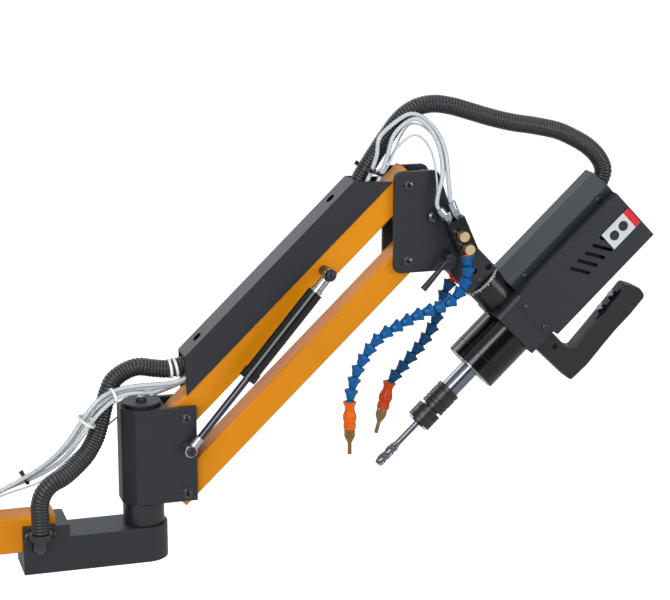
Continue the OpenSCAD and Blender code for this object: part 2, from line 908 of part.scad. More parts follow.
// Cap disc with its domed screw, above a bush flange at the level z
module post_cap(z) {
    translate([0, 0, z + gap]) {
        cylinder(d = cap_d, h = cap_t);
        translate([0, 0, cap_t]) screw_head(cap_dome_d, cap_dome_h, head_socket_d);
    }
    translate([0, 0, z - cap_screw_len + gap]) cylinder(d = cap_screw_d, h = cap_screw_len);
}

module column_cap() color(powder_black) post_cap(block_top + bush_flange);

// A housing round the axis at the origin that holds a beam end along +X
module end_housing(setback, bore) {
    difference() {
        translate([0, 0, block_bottom]) linear_extrude(block_h) {
            circle(d = block_w);
            translate([0, -block_w / 2]) square([setback + block_grip, block_w]);
        }
        translate([0, 0, block_bottom - overrun]) cylinder(d = bore, h = block_h + 2 * overrun);
        translate([setback - gap, -pocket_w / 2, beam_top - beam_h - gap])
            cube([block_grip + gap + overrun, pocket_w, block_h]);
        for (s = beam_bolt_shares)
            translate([setback + s * block_grip, 0, beam_top - beam_h / 2])
                rod_y(beam_bolt_d + 2 * run_fit, -block_w / 2 - overrun, block_w / 2 + overrun);
    }
}

module column_housing() color(powder_black) end_housing(column_setback, bore_d);

module elbow_housing() color(powder_black) difference() {
    translate([elbow_x, 0, 0]) mirror([1, 0, 0]) end_housing(elbow_setback, journal_d + 2 * run_fit);
    translate([elbow_x - elbow_setback + bore_drop, -block_w / 2 - overrun, bore_top])
        cube([elbow_setback + block_w / 2, block_w + 2 * overrun, bore_drop + overrun]);
    translate([gland_x, 0, gland_z]) rod_y(gland_neck_d + 2 * run_fit, -block_w / 2 - overrun, 0);
}

// A flanged bush, its flange below the seat at z = 0
module flanged_bush() {
    difference() {
        union() {
            translate([0, 0, -bush_flange]) cylinder(d = column_d - 2 * gap, h = bush_flange);
            cylinder(d = bush_d, h = bush_len);
        }
        translate([0, 0, -bush_flange - overrun])
            cylinder(d = journal_d + 2 * run_fit, h = bush_len + bush_flange + 2 * overrun);
    }
}

// Two flanged bushes that line a bore from bottom to top
module bush_pair(bottom, top) {
    translate([0, 0, bottom]) flanged_bush();
    translate([0, 0, top]) mirror([0, 0, 1]) flanged_bush();
}

module housing_bushes() color(bronze) bush_pair(block_bottom, block_top);

module beam_tube(w, h, r, wall) {
    difference() {
        round_rect(w, h, r);
        round_rect(w - 2 * wall, h - 2 * wall, max(r - wall, wall / 4));
    }
}

module first_arm_beam() color(orange) difference() {
    slab_x(beam_start, beam_end) translate([0, beam_top - beam_h / 2])
        beam_tube(beam_w, beam_h, beam_corner_r, beam_wall);
    for (x = beam_bolt_x) translate([x, 0, beam_top - beam_h / 2])
        rod_y(beam_bolt_d + 2 * run_fit, -beam_w / 2 - overrun, beam_w / 2 + overrun);
    translate([gland_x, 0, gland_z]) rod_y(gland_neck_d + 2 * run_fit, -beam_w / 2 - overrun, 0);
    translate([grommet_x, grommet_y, beam_top - beam_wall - overrun])
        cylinder(d = grommet_d - 2 * grommet_lip, h = beam_wall + 2 * overrun);
}

module beam_bolts() color(rubber_black) for (x = beam_bolt_x) translate([x, 0, beam_top - beam_h / 2]) {
    rod_y(beam_bolt_d, -block_w / 2, block_w / 2);
    for (s = [-1, 1]) translate([0, s * block_w / 2, 0]) rotate([-s * 90, 0, 0])
        screw_head(beam_bolt_head_d, beam_bolt_head_h, head_socket_d);
}

module elbow_shaft() color(rubber_black) translate([elbow_x, 0, 0])
    post(block_bottom, bore_top, block_top + collar_len, bracket_top + bush_flange);

module elbow_cap() color(powder_black) translate([elbow_x, 0, 0]) post_cap(bracket_top + bush_flange);

// Bent gland of the base conduit, and the grommet of the air tubes
module beam_fittings() color(rubber_black) {
    translate([gland_x, gland_y, gland_z + gland_bend]) {
        cylinder(d = gland_d, h = gland_len);
        translate([0, gland_bend, 0]) rotate([0, 90, 0]) rotate([0, 0, 0])
            rotate([0, 0, 270])
                rotate_extrude(angle = 90) translate([gland_bend, 0]) circle(d = gland_neck_d);
    }
    translate([gland_x, 0, gland_z]) rod_y(gland_neck_d, gland_y + gland_bend, -beam_w / 2 + beam_wall);
    translate([grommet_x, grommet_y, beam_top]) {
        cylinder(d = grommet_d, h = grommet_h);
        translate([0, 0, -beam_wall])
            cylinder(d = grommet_d - 2 * grommet_lip - 2 * run_fit, h = beam_wall);
    }
}

// Elbow bracket

module bracket_outline() {
    polygon([
        [post_to_pin + cheek_over_pin, -bracket_w / 2],
        [post_to_pin + cheek_over_pin, bracket_w / 2],
        [-bevel_in, bracket_w / 2],
        [-bracket_left, bracket_left_w / 2],
        [-bracket_left, -bracket_left_w / 2],
        [-bevel_in, -bracket_w / 2]
    ]);
}

module arm_bracket() color(powder_black) translate([elbow_x, 0, 0]) difference() {
    translate([0, 0, bracket_bottom]) linear_extrude(bracket_h) bracket_outline();
    translate([cavity_start, -bracket_w / 2 + cheek, bracket_bottom - overrun])
        cube([post_to_pin + cheek_over_pin, bracket_w - 2 * cheek, bracket_h + 2 * overrun]);
    translate([0, 0, bracket_bottom - overrun]) cylinder(d = bore_d, h = bracket_h + 2 * overrun);
    for (drop = [0, link_pitch]) translate([post_to_pin, 0, pivot_z - drop])
        rod_y(pin_bore, -bracket_w / 2 - overrun, bracket_w / 2 + overrun);
}

module bracket_bushes() color(bronze) translate([elbow_x, 0, 0]) bush_pair(bracket_bottom, bracket_top);

// A pivot bolt along Y with a washer and a domed head on each side
module pivot_bolt(d, half, head_d) {
    rod_y(d, -half, half);
    for (s = [-1, 1]) translate([0, s * half, 0]) rotate([-s * 90, 0, 0]) {
        cylinder(d = head_d, h = washer_t);
        translate([0, 0, washer_t]) screw_head(head_d - 2 * washer_t, button_head_h, head_socket_d);
    }
}

module rear_pivot_bolts() color(rubber_black) for (drop = [0, link_pitch])
    translate([pin_x, 0, pivot_z - drop]) pivot_bolt(pin_d, bracket_w / 2, washer_d);

// A washer ring on Y between two faces
module ring_y(d, bore, y0, y1) {
    difference() {
        rod_y(d, y0, y1);
        rod_y(bore, y0 - overrun, y1 + overrun);
    }
}

module rear_spacers() color(steel) for (drop = [0, link_pitch], s = [-1, 1])
    translate([pin_x, 0, pivot_z - drop]) mirror([0, s > 0 ? 0 : 1, 0])
        ring_y(spacer_d, pin_bore, tube_w / 2 + gap, bracket_w / 2 - cheek);

// Links

module link() {
    difference() {
        union() {
            slab_x(-tube_over, link_len + tube_over) beam_tube(tube_w, tube_w, tube_corner_r, tube_wall);
            for (x = [0, link_len]) translate([x, 0, 0])
                rod_y(eye_sleeve_d, -tube_w / 2 + tube_wall / 2, tube_w / 2 - tube_wall / 2);
        }
        for (x = [0, link_len]) translate([x, 0, 0])
            rod_y(pin_bore, -tube_w / 2 - overrun, tube_w / 2 + overrun);
    }
}

module link_plugs() {
    for (end = [0, 1])
        translate([end * link_len, 0, 0]) mirror([1 - end, 0, 0]) translate([tube_over, 0, 0]) {
        slab_x(0, plug_lip) round_rect(tube_w - gap, tube_w - gap, tube_corner_r);
        slab_x(eye_sleeve_d / 2 - tube_over + gap, 0)
            round_rect(tube_w - 2 * tube_wall - gap, tube_w - 2 * tube_wall - gap, plug_corner_r);
    }
}

module upper_link() color(orange) along_link() difference() {
    link();
    translate([gas_stud_s, 0, 0]) rod_y(gas_pin_d + 2 * run_fit, -tube_w / 2 - overrun, 0);
}

module upper_link_plugs() color(rubber_black) along_link() link_plugs();
module lower_link() color(orange) along_link(link_pitch) link();
module lower_link_plugs() color(rubber_black) along_link(link_pitch) link_plugs();

// Trough over the upper link, open below, with both ends cut slanting
module cable_cover() color(powder_black) along_link() {
    outer_w = tube_w + 2 * (cover_side_gap + cover_wall);
    base_t = tube_w / 2 - cover_skirt;
    top_t = tube_w / 2 + cover_h;
    end_s = cover_start + cover_len;
    difference() {
        slab_y(-outer_w / 2, outer_w / 2) polygon([
            [cover_start, base_t],
            [cover_start + cover_h - cover_skirt, top_t],
            [end_s - cover_h + cover_skirt, top_t],
            [end_s, base_t]
        ]);
        translate([0, -outer_w / 2 + cover_wall, base_t - overrun])
            cube([end_s + 2 * cover_h, outer_w - 2 * cover_wall, top_t - base_t - cover_wall + overrun]);
        for (s = cover_hole_shares) translate([cover_start + s * cover_len, 0, top_t - 2 * cover_wall])
            cylinder(d = cover_hole_d, h = 4 * cover_wall);
    }
    for (s = saddle_shares) translate([cover_start + s * cover_len, 0, 0])
        slab_x(0, saddle_t) for (side = [-1, 1])
            translate([side * (outer_w / 2 - cover_wall) - (side > 0 ? saddle_w : 0), tube_w / 2])
                square([saddle_w, saddle_t]);
}

module spring_stud() color(rubber_black) along_link() translate([gas_stud_s, 0, 0]) {
    rod_y(gas_pin_d, gas_y - gas_eye_t / 2 - gap, -tube_w / 2 + tube_wall);
    rod_y(gas_eye_d - 2 * washer_t, gas_y + gas_eye_t / 2 + gap, -tube_w / 2);
    translate([0, gas_y - gas_eye_t / 2 - gap, 0]) rotate([90, 0, 0]) {
        cylinder(d = washer_d, h = washer_t);
        translate([0, 0, washer_t]) screw_head(washer_d - 2 * washer_t, button_head_h, head_socket_d);
    }
}

// Gas spring

// Eye on Y with a bore, joined to the spring by a round neck along +X
module spring_end(neck_d, neck_len) {
    difference() {
        union() {
            rod_y(gas_eye_d, -gas_eye_t / 2, gas_eye_t / 2);
            rod_x(neck_d, 0, neck_len);
        }
        rod_y(gas_pin_d + 2 * run_fit, -gas_eye_d, gas_eye_d);
    }
}

module spring_cylinder() color(gloss_black) along_spring() {
    difference() {
        union() {
            rod_x(gas_d, gas_rod_out, gas_span - gas_top_len);
            rod_x(gas_d + 2 * gas_wall, gas_rod_out, gas_rod_out + gas_collar_len);
        }
        rod_x(gas_rod_d + 2 * run_fit, gas_rod_out - overrun, gas_rod_out + gas_collar_len + overrun);
        rod_x(gas_d - 2 * gas_wall, gas_rod_out + gas_collar_len, gas_span - gas_top_len - gas_wall);
    }
    translate([gas_span, 0, 0]) mirror([1, 0, 0]) spring_end(gas_rod_d, gas_top_len);
}

module spring_rod() color(steel) along_spring() {
    end = gas_rod_out + gas_collar_len + gas_rod_in;
    rod_x(gas_rod_d, gas_fork_len, end);
    rod_x(gas_d - 2 * gas_wall - 2 * gap, end - gas_piston_len, end);
}

module spring_eye() color(zinc) along_spring() {
    spring_end(gas_rod_d + 2 * gas_wall, gas_fork_len);
    rod_y(gas_pin_d, -gas_eye_t / 2 - gap, gas_pin_y);
    rod_y(gas_eye_d - 2 * washer_t, gas_eye_t / 2 + gap, gas_pin_y);
    translate([0, -gas_eye_t / 2 - gap, 0]) rotate([90, 0, 0]) {
        cylinder(d = washer_d, h = washer_t);
        translate([0, 0, washer_t]) screw_head(washer_d - 2 * washer_t, button_head_h, head_socket_d);
    }
}

// Head bracket

module plate_outline() {
    top = head_over_pin;
    low = head_over_pin - plate_h;
    polygon(rounded(
        [
            [-head_left, low],
            [-head_left, top],
            [plate_top_w - head_left, top],
            [plate_mid_w - head_left, top - plate_mid_drop],
            [plate_mid_w - head_left, low]
        ],
        [plate_corner_r, plate_corner_r, plate_corner_r, plate_corner_r, plate_corner_r]
    ));
}

module head_plate(side) {
    y0 = side * (plate_gap / 2 + (side < 0 ? plate_t : 0));
    difference() {
        at_head_pin() slab_y(y0, y0 + plate_t) plate_outline();
        for (drop = [0, link_pitch]) at_head_pin() translate([0, 0, -drop])
            rod_y(pin_bore, y0 - overrun, y0 + plate_t + overrun);
        at_tilt() rod_y(tilt_bolt_d + 2 * run_fit, y0 - overrun, y0 + plate_t + overrun);
        if (side < 0) at_tilt() translate([clamp_dx, 0, -clamp_dz])
            rod_y(clamp_stud_d + 2 * run_fit, y0 - overrun, y0 + plate_t + overrun);
    }
}

module head_plate_front() color(powder_black) head_plate(-1);
module head_plate_rear() color(powder_black) head_plate(1);

module head_spacers() color(steel) at_head_pin() {
    for (drop = [0, link_pitch], s = [0, 1]) translate([0, 0, -drop]) mirror([0, s, 0])
        ring_y(spacer_d, pin_bore, tube_w / 2 + gap, plate_gap / 2);
    for (p = cross_rods) translate([p.x, 0, p.y]) rod_y(cross_rod_d, -plate_gap / 2, plate_gap / 2);
}

module head_pivot_bolts() color(rubber_black) {
    for (drop = [0, link_pitch]) at_head_pin() translate([0, 0, -drop])
        pivot_bolt(pin_d, plate_gap / 2 + plate_t, washer_d);
    at_tilt() {
        rod_y(tilt_bolt_d, -plate_gap / 2 - plate_t, plate_gap / 2 + plate_t);
        for (s = [-1, 1]) translate([0, s * (plate_gap / 2 + plate_t), 0]) rotate([-s * 90, 0, 0])
            screw_head(tilt_head_d, tilt_head_h, head_socket_d);
    }
}

// Clamp lever with its stud, whose tip faces the head arm
module clamp_lever() color(rubber_black) at_tilt() translate([clamp_dx, 0, -clamp_dz]) {
    face = -plate_gap / 2 - plate_t - gap;
    rod_y(clamp_stud_d, face - gap, -plate_gap / 2);
    rod_y(clamp_hub_d, face - clamp_hub_h, face);
    translate([0, face - clamp_hub_h + clamp_tip_d / 2, 0]) rotate([0, 90 - clamp_lever_angle, 0])
        translate([0, 0, clamp_hub_d / 2 - clamp_sink])
            cylinder(d1 = clamp_neck_d, d2 = clamp_tip_d, h = clamp_len - clamp_hub_d / 2 + clamp_sink);
}

// Head arm

// Point where a line from p touches the circle about c
function touch(p, c, r, side) =
    let (
        base = atan2(p.y - c.y, p.x - c.x),
        off = acos(r / norm(p - c))
    )
    c + r * [cos(base + side * off), sin(base + side * off)];

module arm_outline() {
    half = head_arm_w / 2;
    bolt = [tilt_offset, head_reach];
    low = swivel_v + ring_t;
    translate(bolt) circle(r = arm_end_r);
    polygon([
        [-half, low],
        [half, low],
        [half, arm_square_v],
        touch([half, arm_square_v], bolt, arm_end_r, 1),
        touch([-half, arm_square_v], bolt, arm_end_r, -1),
        [-half, arm_square_v]
    ]);
}

module head_arm() color(powder_black) in_head() difference() {
    union() {
        slab_y(-arm_t / 2, arm_t / 2) arm_outline();
        translate([0, 0, swivel_v - spigot_len]) cylinder(d = spigot_d, h = spigot_len + ring_t);
    }
    translate([tilt_offset, 0, head_reach]) rod_y(tilt_bush_d + 2 * run_fit, -arm_t, arm_t);
    for (p = arm_screws)
        translate([p.x, 0, p.y]) rod_y(arm_screw_d, -arm_t, -arm_t / 2 + arm_screw_depth);
}

module tilt_bush() color(bronze) at_tilt()
    ring_y(tilt_bush_d, tilt_bolt_d + 2 * run_fit, -arm_t / 2, arm_t / 2);

module dial_ring() color(gloss_black) in_head() translate([0, 0, swivel_v]) difference() {
    cylinder(d = ring_d, h = ring_t);
    translate([0, 0, -overrun]) cylinder(d = spigot_d + 2 * run_fit, h = ring_t + 2 * overrun);
}

module valve_bracket() color(steel) in_valve()
    translate([spacer_start + valve_len / 2, -arm_t / 2 - valve_stand, spacer_side])
        cube([spacer_len, valve_stand, spacer_w]);

module valve_block() color(gloss_black) in_valve() difference() {
    translate([-valve_len / 2, valve_y - valve_d / 2, -valve_w / 2]) cube([valve_len, valve_d, valve_w]);
    translate([-valve_seam / 2, valve_y - valve_d / 2 - overrun, -valve_w])
        cube([valve_seam, valve_seam + overrun, 2 * valve_w]);
    for (s = knob_shares) translate([(s - 0.5) * valve_len, 0, knob_side])
        rod_y(knob_stem_d + 2 * run_fit, valve_y - valve_d, valve_y - valve_d / 2 + knob_stem_in + gap);
}

module valve_knob(s) in_valve() translate([(s - 0.5) * valve_len, valve_y - valve_d / 2, knob_side]) {
    rod_y(knob_stem_d, -knob_stem_out, knob_stem_in);
    rod_y(knob_d, -knob_stem_out - knob_len, -knob_stem_out);
}

module valve_knob_upper() color(brass) valve_knob(knob_shares[0]);
module valve_knob_lower() color(brass) valve_knob(knob_shares[1]);

module air_fittings() color(zinc) in_valve() for (i = [0, 1])
    translate([-valve_len / 2, valve_y, fitting_sides[i]])
    rotate([0, -fitting_tilts[i], 0])
    mirror([1, 0, 0]) {
        difference() {
            rod_x(fitting_stub_d, -fitting_stub_d * sin(fitting_tilts[i]) / 2, fitting_stub_len);
            rotate([0, -fitting_tilts[i], 0])
                translate([-valve_w, -valve_w / 2, -valve_w / 2]) cube(valve_w);
        }
        translate([fitting_stub_len, 0, 0])
            rotate([0, 90, 0]) cylinder(d = fitting_hex_d, h = fitting_hex_h, $fn = 6);
        rod_x(fitting_d, fitting_stub_len + fitting_hex_h, fitting_stub_len + fitting_hex_h + fitting_len);
    }

// Coolant hoses

// Place on a curve one pitch further on than the point p
function next_at(points, sums, p, s, pitch, tries) =
    tries == 0
        ? s
        : next_at(points, sums, p, s + pitch - norm(at_length(points, sums, s) - p), pitch, tries - 1);

// Ball centres at an even pitch along a route
function ball_centres(route, count) =
    let (
        curve = spline(route),
        sums = lengths(curve),
        places = [
            for (
                i = 0, s = 0;
                i <= count + 1;
                i = i + 1,
                s = next_at(
                    curve, sums, at_length(curve, sums, s), s + hose_pitch, hose_pitch, walk_tries
                )
            ) s
        ]
    )
    [for (s = places) at_length(curve, sums, s)];

// Puts children at a point with +Z along a direction
module aim(place, direction) {
    d = unit(direction);
    translate(place) rotate([0, acos(d.z), atan2(d.y, d.x)]) children();
}

socket_r = ball_d / 2 + gap;
socket_top = sqrt(socket_r * socket_r - link_bore_d * link_bore_d / 4);

// Inner outline of a socket, from its bore's start down to its rim
function socket_bore() =
    let (
        from = asin(socket_top / socket_r),
        to = -asin(socket_rim / socket_r)
    )
    [for (i = [0:ball_steps]) let (a = from + (to - from) * i / ball_steps) socket_r * [cos(a), sin(a)]];

module hose_link() {
    start = -acos(link_neck_d / ball_d);
    end = acos(link_bore_d / ball_d);
    rotate_extrude($fn = link_sides) polygon(concat(
        [[link_d / 2, -socket_rim], [link_d / 2, socket_rim]],
        [for (i = [0:ball_steps]) let (a = start + (end - start) * i / ball_steps)
            [0, hose_pitch] + ball_d / 2 * [cos(a), sin(a)]],
        socket_bore()
    ));
}

module hose(route, count) {
    balls = ball_centres(route, count);
    for (i = [0:count - 1]) aim(balls[i], balls[i + 1] - balls[i]) hose_link();
}

module coolant_hose_front() color(hose_blue) at_pin() hose(front_hose_route, front_link_count);
module coolant_hose_rear() color(hose_blue) at_pin() hose(rear_hose_route, rear_link_count);

// Base with a neck and the first ball of a hose, its ball at the origin and its base along -Z
module adapter() {
    difference() {
        union() {
            sphere(d = ball_d);
            translate([0, 0, -adapter_len]) cylinder(d = link_neck_d, h = adapter_len);
            translate([0, 0, -adapter_len]) cylinder(d = adapter_base_d, h = adapter_base_len);
        }
        translate([0, 0, -adapter_len - overrun]) cylinder(d = link_bore_d, h = adapter_len + ball_d);
    }
}

// Tapered nozzle with a socket at its start
module nozzle() {
    rotate_extrude($fn = link_sides) polygon(concat(
        [[link_d / 2, -socket_rim], [link_d / 2, socket_rim]],
        [
            [nozzle_waist_d / 2, ball_d / 2],
            [nozzle_bulb_d / 2, nozzle_bulb_z],
            [nozzle_groove_d / 2, nozzle_len - nozzle_ring_h],
            [nozzle_ring_d / 2, nozzle_len - nozzle_ring_h],
            [nozzle_ring_d / 2, nozzle_len],
            [tip_d / 2, nozzle_len]
        ],
        [[tip_d / 2, nozzle_len / 2], [link_bore_d / 2, nozzle_len / 2]],
        socket_bore()
    ));
}

module tip() {
    rotate_extrude($fn = link_sides) polygon([
        [tip_bore_d / 2, nozzle_len / 2],
        [tip_d / 2 - run_fit, nozzle_len / 2],
        [tip_d / 2 - run_fit, nozzle_len],
        [tip_collar_d / 2, nozzle_len],
        [tip_collar_d / 2, nozzle_len + tip_collar_h],
        [tip_end_d / 2, nozzle_len + tip_collar_h + tip_cone_h],
        [tip_end_d / 2, nozzle_len + tip_len],
        [tip_bore_d / 2, nozzle_len + tip_len]
    ]);
}

// Puts children on the last ball of a hose
module on_last(route, count) {
    balls = ball_centres(route, count);
    at_pin() aim(balls[count], balls[count + 1] - balls[count]) children();
}

module coolant_nozzles() color(nozzle_orange) {
    at_pin() aim(front_ball, valve_down) adapter();
    at_pin() aim(rear_ball, -head_up) adapter();
    on_last(front_hose_route, front_link_count) nozzle();
    on_last(rear_hose_route, rear_link_count) nozzle();
}

module coolant_tips() color(brass) {
    on_last(front_hose_route, front_link_count) tip();
    on_last(rear_hose_route, rear_link_count) tip();
}

// Tapping head

module swivel_barrel() color(gloss_black) in_head() difference() {
    translate([0, 0, block_v_high]) cylinder(d = barrel_d, h = swivel_v - gap - block_v_high);
    translate([0, 0, swivel_v - spigot_len - gap]) cylinder(d = spigot_d + 2 * run_fit, h = 2 * spigot_len);
}

module gearbox_block() color(powder_black) in_head() difference() {
    slab_x(-block_low, block_high) polygon(rounded(
        [
            [-block_y, -block_v_low],
            [block_y, -block_v_low],
            [block_y, block_v_high],
            [-block_y, block_v_high]
        ],
        [0, 0, block_edge_r, block_edge_r]
    ));
    rod_x(bearing_bore_d, -block_low - overrun, block_high + overrun);
    translate([block_high - tab_len, -block_y - overrun, -block_v_low - overrun])
        cube([tab_len + overrun, sheet + overrun, block_v_low + tab_v_high + overrun]);
    for (p = tab_screws)
        translate([p.x, -block_y, p.y]) rod_y(screw_core_d + 2 * run_fit, 0, screw_core_len + gap);
}

// Corner points of a convex outline, moved in by d
function inset(points, d) =
    let (n = len(points))
    [for (i = [0:n - 1])
        let (
            ua = unit(points[(i + n - 1) % n] - points[i]),
            ub = unit(points[(i + 1) % n] - points[i])
        )
        points[i] + unit(ua + ub) * d / sin(acos(ua * ub) / 2)];

function shell_outline() = [
    [-front_y + front_depth, cover_v - bevel_v],
    [-front_y + front_depth + bevel_y, cover_v],
    [cover_rear_y - bevel_y, cover_v],
    [cover_rear_y, cover_v - bevel_v],
    [cover_rear_y, -cover_v_right],
    [-front_y + front_depth, -cover_v_right]
];

module motor_cover() color(cover_grey) in_head() {
    end = cover_u + front_len;
    face = -front_y + front_depth;
    difference() {
        slab_x(cover_u, end) polygon(shell_outline());
        slab_x(cover_u + sheet, end - sheet) polygon(inset(shell_outline(), sheet));
        translate([cover_u - overrun, face - overrun, -front_w / 2])
            cube([front_len + 2 * overrun, sheet + overrun, front_w + gap]);
        translate([cover_u - overrun, face, -motor_face])
            cube([sheet + 2 * overrun, motor_face - face, 2 * motor_face]);
        translate([0, 0, block_v_high - overrun]) cylinder(d = barrel_d + 2 * gap, h = cover_v);
        translate([0, conduit_entry_y, conduit_entry_v])
            rod_x(conduit_d + 2 * entry_play, end - 2 * sheet, end + overrun);
        for (p = strip_screws)
            translate([p.x, face, p.y]) rod_y(screw_core_d + 2 * run_fit, -overrun, sheet + overrun);
    }
    difference() {
        intersection() {
            slab_x(end - shelf_depth - sheet, end - shelf_depth) polygon(inset(shell_outline(), sheet / 2));
            translate([end - shelf_depth - 2 * sheet, face + sheet, conduit_entry_v - conduit_d / 2 - sheet])
                cube([3 * sheet, cover_rear_y - face, cover_v]);
        }
        translate([0, conduit_entry_y, conduit_entry_v])
            rod_x(conduit_bore_d, end - shelf_depth - 2 * sheet, end - shelf_depth + overrun);
    }
}

module front_cover() color(powder_black) in_head() difference() {
    union() {
        translate([front_u, -front_y, -front_w / 2]) cube([front_len, front_depth - gap, front_w]);
        translate([block_high - tab_len, -front_y, -block_v_low])
            cube([tab_len + front_u - block_high + sheet, sheet, block_v_low + tab_v_high]);
    }
    translate([front_u - overrun, -front_y + sheet, -front_w / 2 + sheet])
        cube([front_len - sheet + overrun, front_depth, front_w - 2 * sheet]);
    for (i = [0:slot_count - 1]) translate([slot_first_u + i * slot_pitch, -front_y, slot_v])
        rotate([0, -slot_angle, 0]) {
            for (s = [-1, 1])
                translate([s * (slot_len - slot_w) / 2, 0, 0]) rod_y(slot_w, -overrun, sheet + overrun);
            translate([-(slot_len - slot_w) / 2, -overrun, -slot_w / 2])
                cube([slot_len - slot_w, sheet + 2 * overrun, slot_w]);
        }
    for (p = tab_screws)
        translate([p.x, -front_y, p.y]) rod_y(screw_core_d + 2 * run_fit, -overrun, sheet + overrun);
}

module cover_screws() color(rubber_black) in_head() {
    for (p = tab_screws) translate([p.x, -front_y, p.y]) rotate([90, 0, 0]) {
        screw_head(head_screw_d, head_screw_h, head_screw_d / 2);
        translate([0, 0, -screw_core_len]) cylinder(d = screw_core_d, h = screw_core_len);
    }
    for (p = strip_screws) translate([p.x, -front_y + front_depth, p.y]) rotate([90, 0, 0]) {
        screw_head(head_screw_d, head_screw_h, head_screw_d / 2);
        translate([0, 0, -screw_core_len]) cylinder(d = screw_core_d, h = screw_core_len);
    }
}

module servo_motor() color(rubber_black) in_head() {
    slab_x(block_high, block_high + motor_len) round_rect(motor_w, motor_w, motor_corner_r);
    slab_x(block_high + motor_len, block_high + motor_len + motor_cap_len)
        round_rect(motor_cap_w, motor_cap_w, motor_corner_r);
}

module spindle_housing() color(gloss_black) in_head() difference() {
    rod_x(housing_d, -block_low - housing_len, -block_low);
    rod_x(bearing_bore_d, -block_low - housing_len - overrun, -block_low + overrun);
    rod_x(housing_d - 2 * housing_wall, -block_low - housing_len + bearing_len, -block_low - bearing_len);
}

module handle() color(powder_black) in_head() difference() {
    slab_y(-handle_t / 2, handle_t / 2) polygon(rounded(handle_outline, handle_radii, 4));
    translate([
        handle_hole.x - handle_hole_w / 2,
        -handle_t / 2 - overrun,
        handle_hole.y - handle_hole_w / 2
    ])
        cube([handle_hole_w, handle_hole_depth + overrun, handle_hole_w]);
    on_strip() for (x = button_x) translate([x, 0, -button_in - button_travel - gap])
        cylinder(d = button_d + 2 * run_fit, h = 2 * (button_in + button_travel));
}

// X runs along the button strip and Z out of it
module on_strip() {
    translate([strip_u, 0, strip_v]) rotate([0, -strip_angle, 0]) children();
}

module button_strip() color(zinc) in_head() on_strip() difference() {
    union() {
        linear_extrude(strip_t) round_rect(strip_len, strip_w, strip_t);
        for (x = button_x) translate([x, 0, 0]) cylinder(d = button_ring_d, h = strip_t + button_ring_t);
    }
    for (x = button_x) translate([x, 0, -overrun])
        cylinder(d = button_d + 2 * run_fit, h = 2 * (strip_t + button_ring_t));
}

module push_button(x) in_head() on_strip() translate([x, 0, -button_in])
    cylinder(d = button_d, h = button_in + strip_t + button_ring_t + button_out);

module button_forward() color(zinc) push_button(button_x[1]);
module button_reverse() color(zinc) push_button(button_x[0]);

// Z runs down along the spindle, from the chuck's top
module in_chuck() {
    in_head() translate([-block_low - housing_len - spindle_out, 0, 0]) rotate([0, -90, 0]) children();
}

module spindle()
    color(steel) in_head() rod_x(spindle_d, -block_low - housing_len - spindle_out, block_high - gap);

sleeve_start = chuck_len + chuck_groove;
core_end = sleeve_start + sleeve_len;
nose_end = core_end + chuck_nose_len;

module chuck_body() color(gloss_black) in_chuck() difference() {
    union() {
        cylinder(d = chuck_d, h = chuck_len);
        cylinder(d = chuck_core_d, h = core_end);
        cylinder(d = nose_d, h = nose_end);
    }
    for (s = ring_shares) translate([0, 0, s * chuck_len]) difference() {
        cylinder(d = chuck_d + overrun, h = ring_groove);
        cylinder(d = chuck_d - 2 * ring_groove, h = ring_groove);
    }
    translate([0, 0, nose_end - tap_hold]) cylinder(d = chuck_bore_d, h = tap_hold + overrun);
}

module chuck_sleeve() color(gloss_black) in_chuck() translate([0, 0, sleeve_start]) difference() {
    cylinder(d = sleeve_d, h = sleeve_len);
    translate([0, 0, -overrun]) cylinder(d = chuck_core_d + 2 * run_fit, h = sleeve_len + 2 * overrun);
}

// Tap with a plain shank and a fluted thread
module tap() color(steel) in_chuck() {
    start = nose_end - tap_hold;
    thread = nose_end + tap_out - tap_thread_len;
    translate([0, 0, start + gap]) cylinder(d = tap_shank_d, h = thread - start - gap);
    translate([0, 0, thread])
        linear_extrude(tap_thread_len - tap_point_len, twist = tap_twist, slices = tap_slices)
        difference() {
            circle(d = tap_d, $fn = 24);
            for (i = [0:tap_flutes - 1]) rotate([0, 0, 360 * i / tap_flutes])
                translate([tap_d / 2, 0]) circle(d = tap_d * flute_share, $fn = 10);
        }
    translate([0, 0, thread + tap_thread_len - tap_point_len])
        cylinder(d1 = tap_d * tap_core_share, d2 = tap_d * tap_core_share / 3, h = tap_point_len);
}

// Conduits and tubes

module base_conduit() color(rubber_black) at_pin() ribbed_tube(base_route);
module head_conduit() color(rubber_black) at_pin() ribbed_tube(head_route);
module base_air_tubes() color(clear_tube) at_pin() for (route = base_tube_routes) air_tube(route);
module head_air_tubes() color(clear_tube) at_pin() for (route = head_tube_routes) air_tube(route);

base_plate();
base_column();
column_cap();
column_housing();
housing_bushes();
first_arm_beam();
elbow_housing();
beam_bolts();
elbow_shaft();
elbow_cap();
beam_fittings();
arm_bracket();
bracket_bushes();
rear_pivot_bolts();
rear_spacers();
upper_link();
upper_link_plugs();
cable_cover();
spring_stud();
lower_link();
lower_link_plugs();
spring_cylinder();
spring_rod();
spring_eye();
head_plate_front();
head_plate_rear();
head_spacers();
head_pivot_bolts();
clamp_lever();
head_arm();
tilt_bush();
dial_ring();
valve_bracket();
valve_block();
valve_knob_upper();
valve_knob_lower();
air_fittings();
coolant_hose_front();
coolant_hose_rear();
coolant_nozzles();
coolant_tips();
swivel_barrel();
gearbox_block();
motor_cover();
front_cover();
cover_screws();
servo_motor();
spindle_housing();
handle();
button_strip();
button_forward();
button_reverse();
spindle();
chuck_body();
chuck_sleeve();
tap();
base_conduit();
head_conduit();
base_air_tubes();
head_air_tubes();
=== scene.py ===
import json
import math
import bmesh
import bpy
from mathutils import Matrix, Vector

